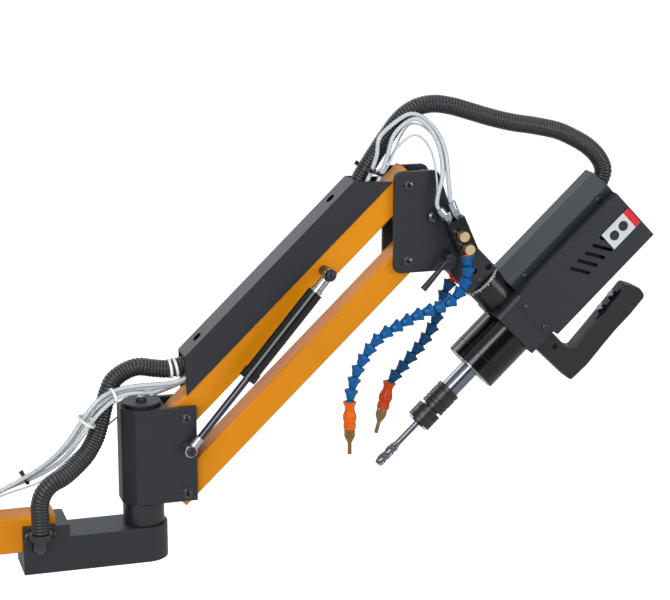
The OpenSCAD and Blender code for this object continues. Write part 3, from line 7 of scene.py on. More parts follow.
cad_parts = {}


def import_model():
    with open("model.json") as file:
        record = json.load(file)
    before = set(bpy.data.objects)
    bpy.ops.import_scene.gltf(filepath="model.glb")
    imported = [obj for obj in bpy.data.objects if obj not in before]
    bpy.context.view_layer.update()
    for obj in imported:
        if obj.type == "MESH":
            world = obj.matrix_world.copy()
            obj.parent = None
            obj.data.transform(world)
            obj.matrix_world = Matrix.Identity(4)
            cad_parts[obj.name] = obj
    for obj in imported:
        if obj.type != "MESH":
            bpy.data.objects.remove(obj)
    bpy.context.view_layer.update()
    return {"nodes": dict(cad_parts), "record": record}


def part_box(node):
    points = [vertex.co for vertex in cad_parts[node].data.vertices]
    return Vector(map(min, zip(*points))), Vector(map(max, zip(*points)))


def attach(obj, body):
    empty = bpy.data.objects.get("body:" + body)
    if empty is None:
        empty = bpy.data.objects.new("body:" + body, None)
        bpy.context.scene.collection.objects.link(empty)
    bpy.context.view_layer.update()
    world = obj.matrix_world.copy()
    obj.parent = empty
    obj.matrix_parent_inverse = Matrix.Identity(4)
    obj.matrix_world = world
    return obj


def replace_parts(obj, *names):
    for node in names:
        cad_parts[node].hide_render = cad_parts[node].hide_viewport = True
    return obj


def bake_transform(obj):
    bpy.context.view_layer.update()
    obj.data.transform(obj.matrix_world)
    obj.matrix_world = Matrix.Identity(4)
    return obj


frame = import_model()
NODES = frame["nodes"]
RECORD = frame["record"]
BODY = {node: body for body, nodes in RECORD["behaviour"]["bodies"].items() for node in nodes}
SLOT = {part["node"]: part["material_slot"] for part in RECORD["subparts"]}
SLOTS = {material["slot"] for material in RECORD["materials"]}
MM = 0.001


# Places of the frame, in millimetres in the row frame

def at_angle(angle):
    """Direction that lies at an angle above +X in the XZ plane."""
    return Vector((math.cos(angle), 0, math.sin(angle)))


def frame_at(origin, angle):
    """Matrix of a frame whose X lies at an angle above +X in the XZ plane."""
    return Matrix.Translation(origin) @ Matrix.Rotation(-angle, 4, "Y")


LINK_ANGLE = math.radians(43.7)
HEAD_ANGLE = math.radians(43.5)
VALVE_ANGLE = math.radians(-66)
SPRING_ANGLE = math.radians(49.7)
LINK_LENGTH = 433
LINK_COVER = 422
LINK_GAP = Vector((0, 0, 105))
CHUCK_TOP = -139
VALVE_Y = -40.5

PIN = Vector((554, 0, 380))
HEAD_PIN = PIN + LINK_LENGTH * at_angle(LINK_ANGLE)
COVER_EXIT = PIN + LINK_COVER * at_angle(LINK_ANGLE)
TILT = HEAD_PIN + Vector((34.9, 0, -44.7))
LEVER_HUB = TILT + Vector((21.1, 0, -55.8))
UP = at_angle(HEAD_ANGLE)
SIDE = Vector((-UP.z, 0, UP.x))
HEAD = TILT - 9.4 * UP - 212 * SIDE
UPPER_EYE = Vector((750.36, -45, 567.64))
LOWER_EYE = Vector((556.5, -45, 339))

IN_ROW = Matrix()
IN_HEAD = frame_at(HEAD, HEAD_ANGLE)
IN_VALVE = frame_at(TILT + Vector((36, 0, -25)), VALVE_ANGLE)
# Z runs down along the spindle from the chuck's top
IN_CHUCK = IN_HEAD @ Matrix.Translation((CHUCK_TOP, 0, 0)) @ Matrix.Rotation(-math.pi / 2, 4, "Y")
# Z runs to the front, Y runs up
TO_FRONT = Matrix.Rotation(math.pi / 2, 4, "X")


# Shader maths

class Value:
    """A socket whose arithmetic adds Math nodes to its tree."""

    def __init__(self, nodes, socket):
        self.nodes = nodes
        self.socket = socket

    def __add__(self, other):
        return self.nodes.maths("ADD", self, other)

    def __sub__(self, other):
        return self.nodes.maths("SUBTRACT", self, other)

    def __mul__(self, other):
        return self.nodes.maths("MULTIPLY", self, other)

    def __truediv__(self, other):
        return self.nodes.maths("DIVIDE", self, other)

    def __radd__(self, other):
        return self.nodes.maths("ADD", other, self)

    def __rsub__(self, other):
        return self.nodes.maths("SUBTRACT", other, self)

    def __rmul__(self, other):
        return self.nodes.maths("MULTIPLY", other, self)

    def __rtruediv__(self, other):
        return self.nodes.maths("DIVIDE", other, self)

    def spread(self, low, high, at_low=0.0, at_high=1.0):
        """Goes from at_low to at_high while the value goes from low to high."""
        share = self.nodes.limited((self - low) / (high - low))
        return at_low + (at_high - at_low) * share


class Nodes:
    """The node tree of a material or of the world."""

    def __init__(self, owner):
        owner.use_nodes = True
        self.tree = owner.node_tree

    def node(self, kind, settings, socket_shades, output=0):
        """A new node with its settings, its sockets' values or links, and one of its outputs."""
        made = self.tree.nodes.new(kind)
        for name, setting in settings.items():
            setattr(made, name, setting)
        for name, value in socket_shades.items():
            self.plug(made.inputs[name], value)
        return Value(self, made.outputs[output]) if len(made.outputs) else None

    def plug(self, socket, value):
        if isinstance(value, Value):
            self.tree.links.new(value.socket, socket)
        else:
            socket.default_value = value

    def maths(self, operation, first, second):
        return self.node("ShaderNodeMath", {"operation": operation}, {0: first, 1: second})

    def limited(self, value):
        """The value held between 0 and 1."""
        return self.node("ShaderNodeClamp", {}, {"Value": value})

    def mixed_shader(self, share, first, second):
        return self.node("ShaderNodeMixShader", {}, {0: share, 1: first, 2: second})

    def ray(self, kind):
        return self.node("ShaderNodeLightPath", {}, {}, kind + " Ray")


class Finish(Nodes):
    """One material of the machine."""

    def __init__(self, name, **surface):
        self.material = bpy.data.materials.new(name)
        super().__init__(self.material)
        self.surface = self.tree.nodes["Principled BSDF"]
        self.set(**surface)

    def set(self, **values):
        for name, value in values.items():
            self.plug(self.surface.inputs[name.replace("_", " ")], value)

    def noise(self, scale, detail=2.0, roughness=0.5):
        place = self.node("ShaderNodeTexCoord", {}, {}, "Object")
        return self.node("ShaderNodeTexNoise", {}, {
            "Vector": place, "Scale": scale, "Detail": detail, "Roughness": roughness}, "Fac")

    def mix(self, share, first, second):
        return self.node("ShaderNodeMix", {"data_type": "RGBA"}, {0: share, 6: first, 7: second}, 2)

    def bump(self, height, distance, strength):
        self.set(Normal=self.node("ShaderNodeBump", {}, {
            "Height": height, "Distance": distance, "Strength": strength}))


# Camera, light and surroundings

CAMERA_TURN, CAMERA_DIP, CAMERA_ROLL = (math.radians(a) for a in (16.829, 14.316, 0.035))
CAMERA_PLACE = Vector((-1.1, -2556.2, 1201.6))
FOCAL_PIXELS = 2016.82
PHOTO_WIDTH = 670
SENSOR_WIDTH = 36


def linked(name, data):
    """A new object in the scene."""
    ob = bpy.data.objects.new(name, data)
    bpy.context.scene.collection.objects.link(ob)
    return ob


def camera():
    level = Vector((math.sin(CAMERA_TURN), math.cos(CAMERA_TURN), 0))
    forward = level * math.cos(CAMERA_DIP) - Vector((0, 0, math.sin(CAMERA_DIP)))
    right = Vector((level.y, -level.x, 0))
    up = right.cross(forward)
    across = right * math.cos(CAMERA_ROLL) + up * math.sin(CAMERA_ROLL)
    upright = up * math.cos(CAMERA_ROLL) - right * math.sin(CAMERA_ROLL)
    data = bpy.data.cameras.new("camera")
    data.lens = FOCAL_PIXELS * SENSOR_WIDTH / PHOTO_WIDTH
    data.sensor_width = SENSOR_WIDTH
    data.sensor_fit = "HORIZONTAL"
    data.clip_start = 0.05
    data.dof.use_dof = False
    ob = linked("camera", data)
    matrix = Matrix((across, upright, -forward)).transposed().to_4x4()
    matrix.translation = CAMERA_PLACE * MM
    ob.matrix_world = matrix
    bpy.context.scene.camera = ob


def light(name, place, target, size, power, height=None):
    """A square lamp, or one of its own height, that faces a target."""
    data = bpy.data.lights.new(name, "AREA")
    data.energy = power
    data.size = size
    if height:
        data.shape = "RECTANGLE"
        data.size_y = height
    turn = (Vector(target) - Vector(place)).to_track_quat("-Z", "Y")
    linked(name, data).matrix_world = Matrix.Translation(place) @ turn.to_matrix().to_4x4()


def world():
    """White to the camera, a bright backdrop and a dim room to gloss, an even grey to all else."""
    room = bpy.data.worlds.new("world")
    bpy.context.scene.world = room
    nodes = Nodes(room)
    nodes.tree.nodes.clear()
    view = nodes.node("ShaderNodeTexCoord", {}, {}, "Generated")
    depth, height = (nodes.node("ShaderNodeSeparateXYZ", {}, {0: view}, axis) for axis in "YZ")

    def background(colour, strength):
        return nodes.node("ShaderNodeBackground", {}, {"Color": (*colour, 1), "Strength": strength})

    behind_or_above = nodes.maths("MAXIMUM", depth.spread(-0.25, 0.55), height.spread(0.28, 0.72))
    dim_room = background((0.88, 0.93, 1.0), 0.12)
    bright_backdrop = background((0.90, 0.95, 1.0), 0.95)
    to_gloss = nodes.mixed_shader(behind_or_above, dim_room, bright_backdrop)
    low_grey = background((0.96, 0.98, 1.0), 0.52)
    high_grey = background((0.94, 0.97, 1.0), 0.24)
    to_paint = nodes.mixed_shader(height.spread(0.05, 0.75), low_grey, high_grey)
    to_rays = nodes.mixed_shader(nodes.ray("Is Glossy"), to_paint, to_gloss)
    seen = nodes.mixed_shader(nodes.ray("Is Camera"), to_rays, background((1, 1, 1), 1.0))
    nodes.node("ShaderNodeOutputWorld", {}, {"Surface": seen})


def floor():
    """A pale floor that reads white to the camera and still takes the shadow."""
    pale = bpy.data.materials.new("pale floor")
    nodes = Nodes(pale)
    nodes.tree.nodes.clear()
    paint = nodes.node("ShaderNodeBsdfDiffuse", {}, {"Color": (0.82, 0.82, 0.82, 1)})
    glow = nodes.node("ShaderNodeEmission", {}, {"Strength": 0.78})
    lit = nodes.node("ShaderNodeAddShader", {}, {0: paint, 1: glow})
    seen = nodes.mixed_shader(nodes.ray("Is Camera"), paint, lit)
    nodes.node("ShaderNodeOutputMaterial", {}, {"Surface": seen})
    mesh = bpy.data.meshes.new("floor")
    mesh.from_pydata([(-16, -12, 0), (18, -12, 0), (18, 30, 0), (-16, 30, 0)], [], [[0, 1, 2, 3]])
    mesh.materials.append(pale)
    linked("floor", mesh)


camera()
world()
floor()
# Name, place, target, width, power and, for the tall one, height of each lamp
light("key", (-0.9, -3.0, 1.7), (0.8, 0, 0.6), 1.7, 62)
light("side", (3.0, -2.2, 1.2), (0.9, 0, 0.5), 1.4, 30)
light("top", (0.4, -0.6, 2.9), (0.7, 0, 0.5), 1.6, 20)
light("back", (-0.6, 2.2, 2.0), (0.7, 0, 0.5), 1.2, 14)
light("strip", (-1.4, -0.8, 0.7), (0.9, 0, 0.6), 0.13, 3.5, 1.5)
bpy.context.scene.view_settings.view_transform = "Standard"


# Materials

def tint(hex_colour, share=1.0):
    """Linear colour of a hex colour, lighter or darker by a share."""
    parts = [int(hex_colour[i:i + 2], 16) / 255 for i in (0, 2, 4)]
    linear = [v / 12.92 if v <= 0.04045 else ((v + 0.055) / 1.055) ** 2.4 for v in parts]
    return (*[min(1, share * v) for v in linear], 1)


def powder(name, colour, rough):
    """Powder coat: a fine grain and a slow change of tone."""
    s = Finish(name)
    cloud = s.noise(7, 3)
    s.set(Base_Color=s.mix(cloud, tint(colour, 0.92), tint(colour, 1.08)),
          Roughness=cloud.spread(0.3, 0.7, rough - 0.03, rough + 0.03))
    s.bump(s.noise(1900), 0.00010, 0.3)
    return s.material


def enamel(name, colour, rough, orange_peel=0.0, specular=0.5):
    """Smooth paint, with the orange peel of a sprayed coat where its depth is given."""
    s = Finish(name, Specular_IOR_Level=specular)
    s.set(Base_Color=s.mix(s.noise(9, 3), tint(colour, 0.96), tint(colour, 1.04)),
          Roughness=s.noise(40, 3).spread(0.3, 0.7, rough * 0.85, rough * 1.2))
    if orange_peel:
        s.bump(s.noise(420, 1), orange_peel, 0.25)
    return s.material


def metal(name, colour, rough, change=0.06, scratch=260):
    """Bare metal with fine scratches in its gloss."""
    s = Finish(name, Base_Color=tint(colour), Metallic=1.0)
    scratches = s.noise(scratch, 4, 0.7)
    s.set(Roughness=scratches.spread(0.25, 0.75, rough - change, rough + change))
    return s.material


def plastic(name, colour, rough, grain=0.0, specular=0.4):
    """Moulded plastic, smooth or with a grain of its own depth."""
    s = Finish(name, Base_Color=tint(colour), Specular_IOR_Level=specular)
    s.set(Roughness=s.noise(60, 3).spread(0.3, 0.7, rough * 0.85, rough * 1.15))
    if grain:
        s.bump(s.noise(1400), grain, 0.4)
    return s.material


def clear(name, face_colour, edge_colour):
    """Clear tube: see-through face on, denser towards its edges."""
    s = Finish(name, Roughness=0.12)
    facing = s.node("ShaderNodeLayerWeight", {}, {"Blend": 0.45}, "Facing")
    s.set(Base_Color=s.mix(facing.spread(0.15, 0.75), tint(face_colour), tint(edge_colour)),
          Alpha=facing.spread(0.05, 0.50, 0.80, 1.0))
    return s.material


MATS = {
    "orange_paint": enamel("orange enamel", "D48402", 0.36, 0.00004, 0.22),
    "black_powder": powder("black powder coat", "191D24", 0.44),
    "cover_grey": powder("grey-black powder coat", "1F242D", 0.38),
    "gloss_black": enamel("gloss black", "060708", 0.10, 0.0, 0.4),
    "washer_black": enamel("glossy black oxide", "121418", 0.16, 0.0, 1.0),
    "barrel_black": enamel("satin black", "0B0C0E", 0.3),
    "black_steel": powder("black oxide steel", "1B1D21", 0.32),
    "ground_steel": metal("ground steel", "7E828A", 0.20, 0.03, 60),
    "bright_zinc": metal("bright zinc", "B4B8BE", 0.24),
    "bush_bronze": metal("bronze", "A8824F", 0.32),
    "oiled_bronze": metal("oiled bronze", "3B3630", 0.38),
    "knob_brass": metal("brass", "8E5424", 0.42),
    "tip_brass": metal("dull brass", "97784E", 0.32),
    "motor_black": metal("black anodised", "222225", 0.42),
    "tap_steel": metal("tap steel", "70747B", 0.26, 0.04, 90),
    "dark_rod": metal("dark rod", "4A4C52", 0.16),
    "strip_steel": metal("dark strip steel", "303338", 0.28),
    "button_steel": metal("button steel", "8F939A", 0.22),
    "dark_screw": metal("dark screw", "4E5157", 0.2),
    "black_plastic": plastic("black plastic", "1E2024", 0.36, specular=0.6),
    "handle_black": plastic("textured black plastic", "1B1C1F", 0.46, 0.00012),
    "hose_blue": plastic("blue hose plastic", "005694", 0.2, specular=0.25),
    # The rear hose's blue is a darker copy of the front hose's blue: painted shade.
    "hose_blue_rear": plastic("blue hose plastic with painted shade", "063C66", 0.24, specular=0.2),
    "nozzle_orange": plastic("orange nozzle plastic", "DC6206", 0.30, specular=0.2),
    # The rear nozzle's orange is a darker copy of the front one's orange: painted shade.
    "nozzle_rear": plastic("orange nozzle plastic with painted shade", "B63C0A", 0.30, specular=0.2),
    "label_white": plastic("label plate", "C4C9CF", 0.30),
    "label_red": plastic("label red band", "D0202A", 0.30),
    "label_black": plastic("label black spot", "232428", 0.35),
    "tie_white": plastic("white cable tie", "E6E4DC", 0.4),
    "tie_black": plastic("black cable tie", "101012", 0.4),
    "mark_white": plastic("white marks", "E4E6E6", 0.5),
    "red_dot": plastic("red mark", "B02A2E", 0.4),
    # Dark of the seams, and painted shade at the bottom of screw sockets and in the chuck's grooves.
    "dark_hole": plastic("dark seams and painted shade", "050506", 0.7),
    "clear_tube": clear("clear tube", "CDD3D8", "6E757C"),
}


# Meshes

BEVEL_ANGLE = math.radians(32)
SAME_PLACE = 0.001


class Build:
    """Collects vertices and faces in millimetres, each face with a material number."""

    def __init__(self):
        self.verts = []
        self.faces = []
        self.numbers = []

    def add(self, verts, faces, matrix=IN_ROW, number=0):
        first = len(self.verts)
        self.verts += [matrix @ Vector(p) for p in verts]
        self.faces += [[first + i for i in face] for face in faces]
        self.numbers += [number] * len(faces)
        return self

    def finish(self, name, mats, body, slot=None, smooth=30, bevel=0.0):
        """Shows what was collected as one piece, in one material or a list of them."""
        keys = [mats] if isinstance(mats, str) else mats
        mesh = bpy.data.meshes.new(name)
        mesh.from_pydata([tuple(p * MM) for p in self.verts], [], self.faces)
        for key in keys:
            mesh.materials.append(MATS[key])
        mesh.polygons.foreach_set("material_index", self.numbers)
        mesh.update()
        return show(mesh, name, body, slot or keys[0], smooth, bevel)


def show(mesh, name, body, slot, smooth, bevel):
    """A mesh as a piece of the scene, with broken edges and on its body."""
    ob = linked(name, mesh)
    if bevel:
        edges = ob.modifiers.new("bevel", "BEVEL")
        edges.width = bevel * MM
        edges.segments = 2
        edges.limit_method = "ANGLE"
        edges.angle_limit = BEVEL_ANGLE
        edges.use_clamp_overlap = True
        edges.miter_outer = "MITER_ARC"
    only(ob)
    bpy.ops.object.shade_smooth_by_angle(angle=math.radians(smooth))
    if bevel:
        ob.modifiers.new("normals", "WEIGHTED_NORMAL").keep_sharp = True
    if body:
        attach(ob, body)
    slot in SLOTS
    return ob


def recut(node, bevel, mat):
    """The CAD node's own mesh, its flat faces joined again and its edges broken."""
    bm = bmesh.new()
    bm.from_mesh(NODES[node].data)
    bmesh.ops.remove_doubles(bm, verts=bm.verts, dist=2e-6)
    bmesh.ops.dissolve_limit(
        bm, angle_limit=math.radians(0.6), verts=bm.verts, edges=bm.edges, delimit={"NORMAL"})
    mesh = bpy.data.meshes.new(node + "_look")
    bm.to_mesh(mesh)
    bm.free()
    mesh.materials.clear()
    mesh.materials.append(MATS[mat])
    mesh.polygons.foreach_set("material_index", [0] * len(mesh.polygons))
    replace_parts(show(mesh, node + "_look", BODY[node], SLOT[node], 32, bevel), node)


def around(matrix, verts):
    return [matrix @ Vector(p) for p in verts]


def only(ob):
    """Makes an object the only selected one and the active one."""
    bpy.ops.object.select_all(action="DESELECT")
    ob.select_set(True)
    bpy.context.view_layer.objects.active = ob


def taken_off(ob):
    """Vertices and faces of a finished workpiece, which then leaves the scene."""
    mesh = ob.data
    verts = [v.co.copy() for v in mesh.vertices]
    faces = [list(face.vertices) for face in mesh.polygons]
    bpy.data.objects.remove(ob)
    bpy.data.meshes.remove(mesh)
    return verts, faces


def turned(outline, sides=48, ring=False, start=0.0, angle=360.0):
    """An (r, z) outline spun about Z, clockwise from above. A ring's outline joins its own start."""
    a = math.radians(start)
    marks = list(range(len(outline)))
    edges = list(zip(marks, marks[1:] + marks[:1] if ring else marks[1:]))
    mesh = bpy.data.meshes.new("workpiece")
    mesh.from_pydata([(r * math.cos(a), r * math.sin(a), z) for r, z in outline], edges, [])
    ob = linked("workpiece", mesh)
    only(ob)
    bpy.ops.object.mode_set(mode="EDIT")
    bpy.ops.mesh.select_all(action="SELECT")
    bpy.ops.mesh.spin(steps=sides, angle=math.radians(angle), center=(0, 0, 0), axis=(0, 0, 1))
    bpy.ops.mesh.select_all(action="SELECT")
    bpy.ops.mesh.remove_doubles(threshold=SAME_PLACE)
    if angle < 360:
        bpy.ops.mesh.fill_holes(sides=len(outline))
    bpy.ops.mesh.normals_make_consistent(inside=False)
    bpy.ops.object.mode_set(mode="OBJECT")
    return taken_off(ob)


def boxed(x0, x1, y0, y1, z0, z1):
    """A box between its limits."""
    low, high = Vector((x0, y0, z0)), Vector((x1, y1, z1))
    bpy.ops.object.select_all(action="DESELECT")
    bpy.ops.mesh.primitive_cube_add(size=1, location=(low + high) / 2, scale=high - low)
    bpy.ops.object.transform_apply()
    return taken_off(bpy.context.active_object)


def catmull(points, steps):
    """A smooth curve through points, with some steps between each two."""
    p = [Vector(q) for q in points]
    p = [2 * p[0] - p[1]] + p + [2 * p[-1] - p[-2]]
    curve = []
    for i in range(1, len(p) - 2):
        a, b, c, d = p[i - 1:i + 3]
        for k in range(steps):
            t = k / steps
            curve.append(0.5 * (2 * b + (c - a) * t + (2 * a - 5 * b + 4 * c - d) * t * t
                                + (3 * b - a - 3 * c + d) * t ** 3))
    return curve + [p[-2]]


def resample(curve, step=None, count=None):
    """The curve at even distances, of about a step or in a count."""
    sums = [0.0]
    for a, b in zip(curve, curve[1:]):
        sums.append(sums[-1] + (b - a).length)
    total = sums[-1]
    n = count or max(2, round(total / step))
    even, i = [], 0
    for k in range(n + 1):
        s = total * k / n
        while i < len(sums) - 2 and sums[i + 1] < s:
            i += 1
        t = (s - sums[i]) / max(sums[i + 1] - sums[i], 1e-9)
        even.append(curve[i].lerp(curve[i + 1], min(1, t)))
    return even


def closed_rings(rings, sides):
    """Faces of a tube whose vertices lie in rings, closed at both ends."""
    faces = []
    for i in range(rings - 1):
        for k in range(sides):
            a, b = i * sides + k, i * sides + (k + 1) % sides
            faces.append([a, b, b + sides, a + sides])
    return faces + [list(range(sides))[::-1], list(range((rings - 1) * sides, rings * sides))]


def sweep(points, radii, sides):
    """Vertices and faces of a round tube along points, each with its own radius."""
    n = len(points)
    dirs = [(points[min(i + 1, n - 1)] - points[max(i - 1, 0)]).normalized() for i in range(n)]
    side = Vector((0, 1, 0))
    verts = []
    for p, d, r in zip(points, dirs, radii):
        side = (side - side.dot(d) * d).normalized()
        other = d.cross(side)
        for k in range(sides):
            a = 2 * math.pi * k / sides
            verts.append(p + r * (math.cos(a) * side + math.sin(a) * other))
    return verts, closed_rings(n, sides)


def ribbed(points, r_root, r_crest, pitch):
    """Points and radii of a ribbed conduit with round crests and narrow grooves."""
    wave = (0.0, 0.86, 1.0, 1.0, 1.0, 0.86)
    ribs = max(2, round(sum((b - a).length for a, b in zip(points, points[1:])) / pitch))
    along = resample(points, count=ribs * len(wave))
    return along, [r_root + (r_crest - r_root) * wave[i % len(wave)] for i in range(len(along))]


def aim(place, direction):
    """Matrix of a frame at a place whose Z lies along a direction."""
    turn = Vector(direction).normalized().to_track_quat("Z", "Y")
    return Matrix.Translation(place) @ turn.to_matrix().to_4x4()


# CAD nodes with broken edges

BEVELS = {
    "base_plate": 1.5, "base_column": 0.8, "column_cap": 0.5, "column_housing": 1.2, "first_arm_beam": 0.5,
    "elbow_housing": 1.2, "beam_bolts": 0.4, "elbow_shaft": 0.8, "elbow_cap": 0.5, "beam_fittings": 0.6,
    "arm_bracket": 1.0, "rear_pivot_bolts": 0.35, "rear_spacers": 0.3, "upper_link": 0.4,
    "upper_link_plugs": 0.3, "cable_cover": 0.45, "spring_stud": 0.4, "lower_link": 0.4,
    "lower_link_plugs": 0.3, "spring_cylinder": 0.7, "spring_rod": 0.3, "spring_eye": 0.5,
    "head_plate_front": 0.8, "head_plate_rear": 0.8, "head_spacers": 0.3, "head_pivot_bolts": 0.4,
    "clamp_lever": 0.8, "head_arm": 0.8, "tilt_bush": 0.3, "dial_ring": 0.5, "valve_bracket": 0.5,
    "valve_block": 0.6, "air_fittings": 0.5, "swivel_barrel": 0.9, "gearbox_block": 1.0, "motor_cover": 0.7,
    "front_cover": 1.8, "cover_screws": 0.2, "servo_motor": 1.0, "spindle_housing": 0.8, "handle": 2.6,
    "button_strip": 0.3, "button_forward": 0.6, "button_reverse": 0.6, "spindle": 0.4,
    "housing_bushes": 0.3, "bracket_bushes": 0.3, "chuck_body": 0.35, "chuck_sleeve": 0.45,
}
OTHER_LOOK = {
    "handle": "handle_black", "button_strip": "strip_steel", "spring_rod": "dark_rod",
    "bracket_bushes": "oiled_bronze", "button_forward": "button_steel", "button_reverse": "button_steel",
    "cover_screws": "dark_screw", "rear_pivot_bolts": "washer_black", "head_pivot_bolts": "washer_black",
    "swivel_barrel": "barrel_black",
}
for node, width in BEVELS.items():
    recut(node, width, OTHER_LOOK.get(node, SLOT[node]))


# Conduits and tubes

CONDUIT_ROOT, CONDUIT_CREST, CONDUIT_PITCH = 11.0, 12.25, 4.4
TUBE_RADIUS, THIN_RADIUS = 3.0, 1.4
TIE_WIDTH, TIE_THICKNESS = 3.6, 1.1


def placed(points, origin):
    """Points that are measured from a place of the machine."""
    return [Vector(p) + origin for p in points]


# Routes, each a list of points chosen along the photo's cords
base_route = placed([
    (19, 0, 71), (10, 0, 67), (-3, 0, 64), (-18, 0, 62), (-36, 2, 64), (-56, 4, 67), (-74, 5, 62),
    (-90, 3, 52), (-99, -2, 38), (-106, -6, 18), (-113, -12, -3), (-122, -20, -22), (-136, -30, -39),
    (-153, -40, -51), (-170, -49, -60), (-186, -54, -66), (-198, -56, -78), (-203, -56, -94),
    (-203, -56, -107), (-203, -56, -119), (-203, -56, -132)], PIN)
head_route = (
    placed([(-66, 3, -10), (-56, 3, 4), (-49, 3, 18), (-40, 2, 33), (-29, 1, 50)], COVER_EXIT)
    + placed([(-22, 0, 64), (-4, 0, 86), (17, 0, 100), (42, 0, 105), (69, 0, 101), (98, 0, 92), (129, 0, 82),
              (160, 0, 74), (192, 1, 68), (228, 3, 59), (256, 5, 46), (277, 7, 33), (293, 8, 17),
              (301, 8, -1)], HEAD_PIN)
    + [HEAD + (217 + u) * UP + 52 * SIDE + Vector((0, 8, 0)) for u in (0, -13, -25.7)])
base_tubes = [placed(r, PIN) for r in (
    [(27, -16, 61), (8, -14, 52), (-14, -14, 46), (-40, -18, 47), (-64, -21, 48), (-88, -23, 46),
     (-110, -26, 39), (-128, -27, 23), (-144, -25, 0), (-160, -21, -24), (-178, -14, -45),
     (-198, -8, -61), (-226, -4, -77), (-254, -3, -90), (-272, -3, -100), (-280, -3, -112),
     (-280, -3, -117)],
    [(29, -9, 60.5), (12, -7, 49), (-12, -6, 41), (-40, -11, 41), (-66, -15, 42), (-88, -18, 39),
     (-106, -21, 31), (-124, -21, 16), (-140, -19, -6), (-157, -14, -30), (-176, -7, -50), (-198, 0, -66),
     (-228, 4, -82), (-254, 5, -94), (-271, 5, -102), (-279, 5, -112), (-279, 5, -117)],
    [(29, 9, 60.5), (12, 8, 48), (-12, 1, 39), (-40, -11, 34.5), (-64, -21, 38.5), (-84, -26, 38),
     (-101, -29, 30), (-120, -30, 14), (-139, -27, -12), (-160, -15, -43), (-181, -1, -64),
     (-203, 8, -77), (-230, 12, -87), (-258, 12, -97), (-279, 12, -104), (-288, 12, -112),
     (-288, 12, -117)])]


def from_fitting(side, tilt):
    """Two points of a tube's straight start in a fitting of the valve."""
    t = math.radians(tilt)
    out = Vector((-math.cos(t), 0, -math.sin(t)))
    end = Vector((-25, VALVE_Y, side)) + 23.3 * out
    return [IN_VALVE @ end, IN_VALVE @ (end + 3 * out)]


head_tubes = [
    from_fitting(-7, 16)
    + placed([(1.6, -40.5, 18.5), (1.8, -40.7, 25), (3.4, -41, 35), (9, -40, 56), (9, -37, 80),
              (4, -32, 103), (-7, -26, 123), (-22, -22, 134), (-38, -19, 128)], TILT)
    + placed([(-12, -19, 73), (-20, -18, 44), (-31, -15.5, 14), (-42, -15.5, -4)], COVER_EXIT),
    from_fitting(5.5, 0)
    + placed([(19, -41, 38), (17.5, -38, 60), (16, -34, 84), (9.5, -28, 108), (-3, -22, 126),
              (-19, -19, 138.5), (-38, -18, 138)], TILT)
    + placed([(-29, -18, 75), (-34, -17, 48), (-44, -15.5, 20), (-52, -15.5, 4)], COVER_EXIT)]


def split(curve, cuts):
    """Pieces of a curve between shares of its length."""
    n = len(curve) - 1
    marks = [0] + [round(c * n) for c in cuts] + [n]
    return [curve[a:b + 1] for a, b in zip(marks, marks[1:])]


def middle(curves, k):
    """Middle of the points that some curves have at one number."""
    return sum((curve[k] for curve in curves), Vector()) / len(curves)


def tie(place, direction, radius, turn):
    """A cable tie round a bundle, with its head and a cut tail."""
    half = TIE_WIDTH / 2
    outer = radius + TIE_THICKNESS
    ring = turned([(radius, -half), (outer, -half), (outer, half), (radius, half)], 24, True)
    head = boxed(radius + 0.4, radius + 4.6, -2.6, 2.6, -2.8, 2.8)
    tail = boxed(radius + 1.0, radius + 2.0, 2.6, 8.5, -1.2, 1.2)
    matrix = aim(place, direction) @ Matrix.Rotation(math.radians(turn), 4, "Z")
    return [(around(matrix, verts), faces) for verts, faces in (ring, head, tail)]


def flexible(name, node, curves, mat, cuts, make, ties):
    """Shows curves in pieces cut at shares of their length, with ties at shares of the first curve."""
    thick = [curve for curve, thin in curves if not thin]
    mats = [mat] + sorted({look for share, look, radius, turn in ties})
    edges = [0, *cuts, 1]
    for i in range(len(cuts) + 1):
        piece = Build()
        for curve, thin in curves:
            piece.add(*make(split(curve, cuts)[i], thin))
        for share, look, radius, turn in ties:
            if edges[i] <= share < edges[i + 1]:
                last = len(thick[0]) - 1
                k = round(share * last)
                ahead = thick[0][min(k + 2, last)] - thick[0][k - 2]
                for verts, faces in tie(middle(thick, k), ahead, radius, turn):
                    piece.add(verts, faces, number=mats.index(look))
        parts = [split(curve, cuts)[i] for curve in thick]
        start, end = (tuple(middle(parts, k) * MM) for k in (0, -1))
        ob = piece.finish(f"{name}_{i + 1}", mats, None, SLOT[node], smooth=60)
        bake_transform(ob)
        if i == 0:
            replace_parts(ob, node)


def conduit(part, thin):
    return sweep(*ribbed(part, CONDUIT_ROOT, CONDUIT_CREST, CONDUIT_PITCH), sides=28)


def smooth_tube(part, thin):
    points = resample(part, step=5)
    return sweep(points, [THIN_RADIUS if thin else TUBE_RADIUS] * len(points), sides=14)


def plain(routes, thin=False):
    """Smooth curves of some routes, each with a mark that says if it is a thin tube."""
    return [(resample(catmull(route, 12), count=240), thin) for route in routes]


# Thin single tubes beside the bundles, each from a thick tube's start to a thick tube's end
thin_base = [
    base_tubes[0][:1]
    + placed([(10, -8, 50), (-2, 6, 36), (-27, 34, 17), (-48, 36, 7), (-83, 20, -6), (-130, 0, -33),
              (-171, -4, -64), (-194, -2, -80), (-232, 2, -92), (-262, 4, -102), (-279, 5, -112)], PIN)
    + base_tubes[1][-1:]]
thin_head = [
    head_tubes[1][:3]
    + placed([(15, -34, 70), (8, -28, 98), (-8, -20, 120), (-26, -12, 126), (-37, -6, 112)], TILT)
    + placed([(-8, -12, 52), (-24, -17, 34)], COVER_EXIT)
    + head_tubes[1][-2:],
    head_tubes[0][:3]
    + placed([(2, -39, 46), (-1, -34, 78), (-10, -27, 102), (-26, -21, 112)], TILT)
    + placed([(-6, -19, 58), (-18, -18, 34)], COVER_EXIT)
    + head_tubes[0][-2:]]

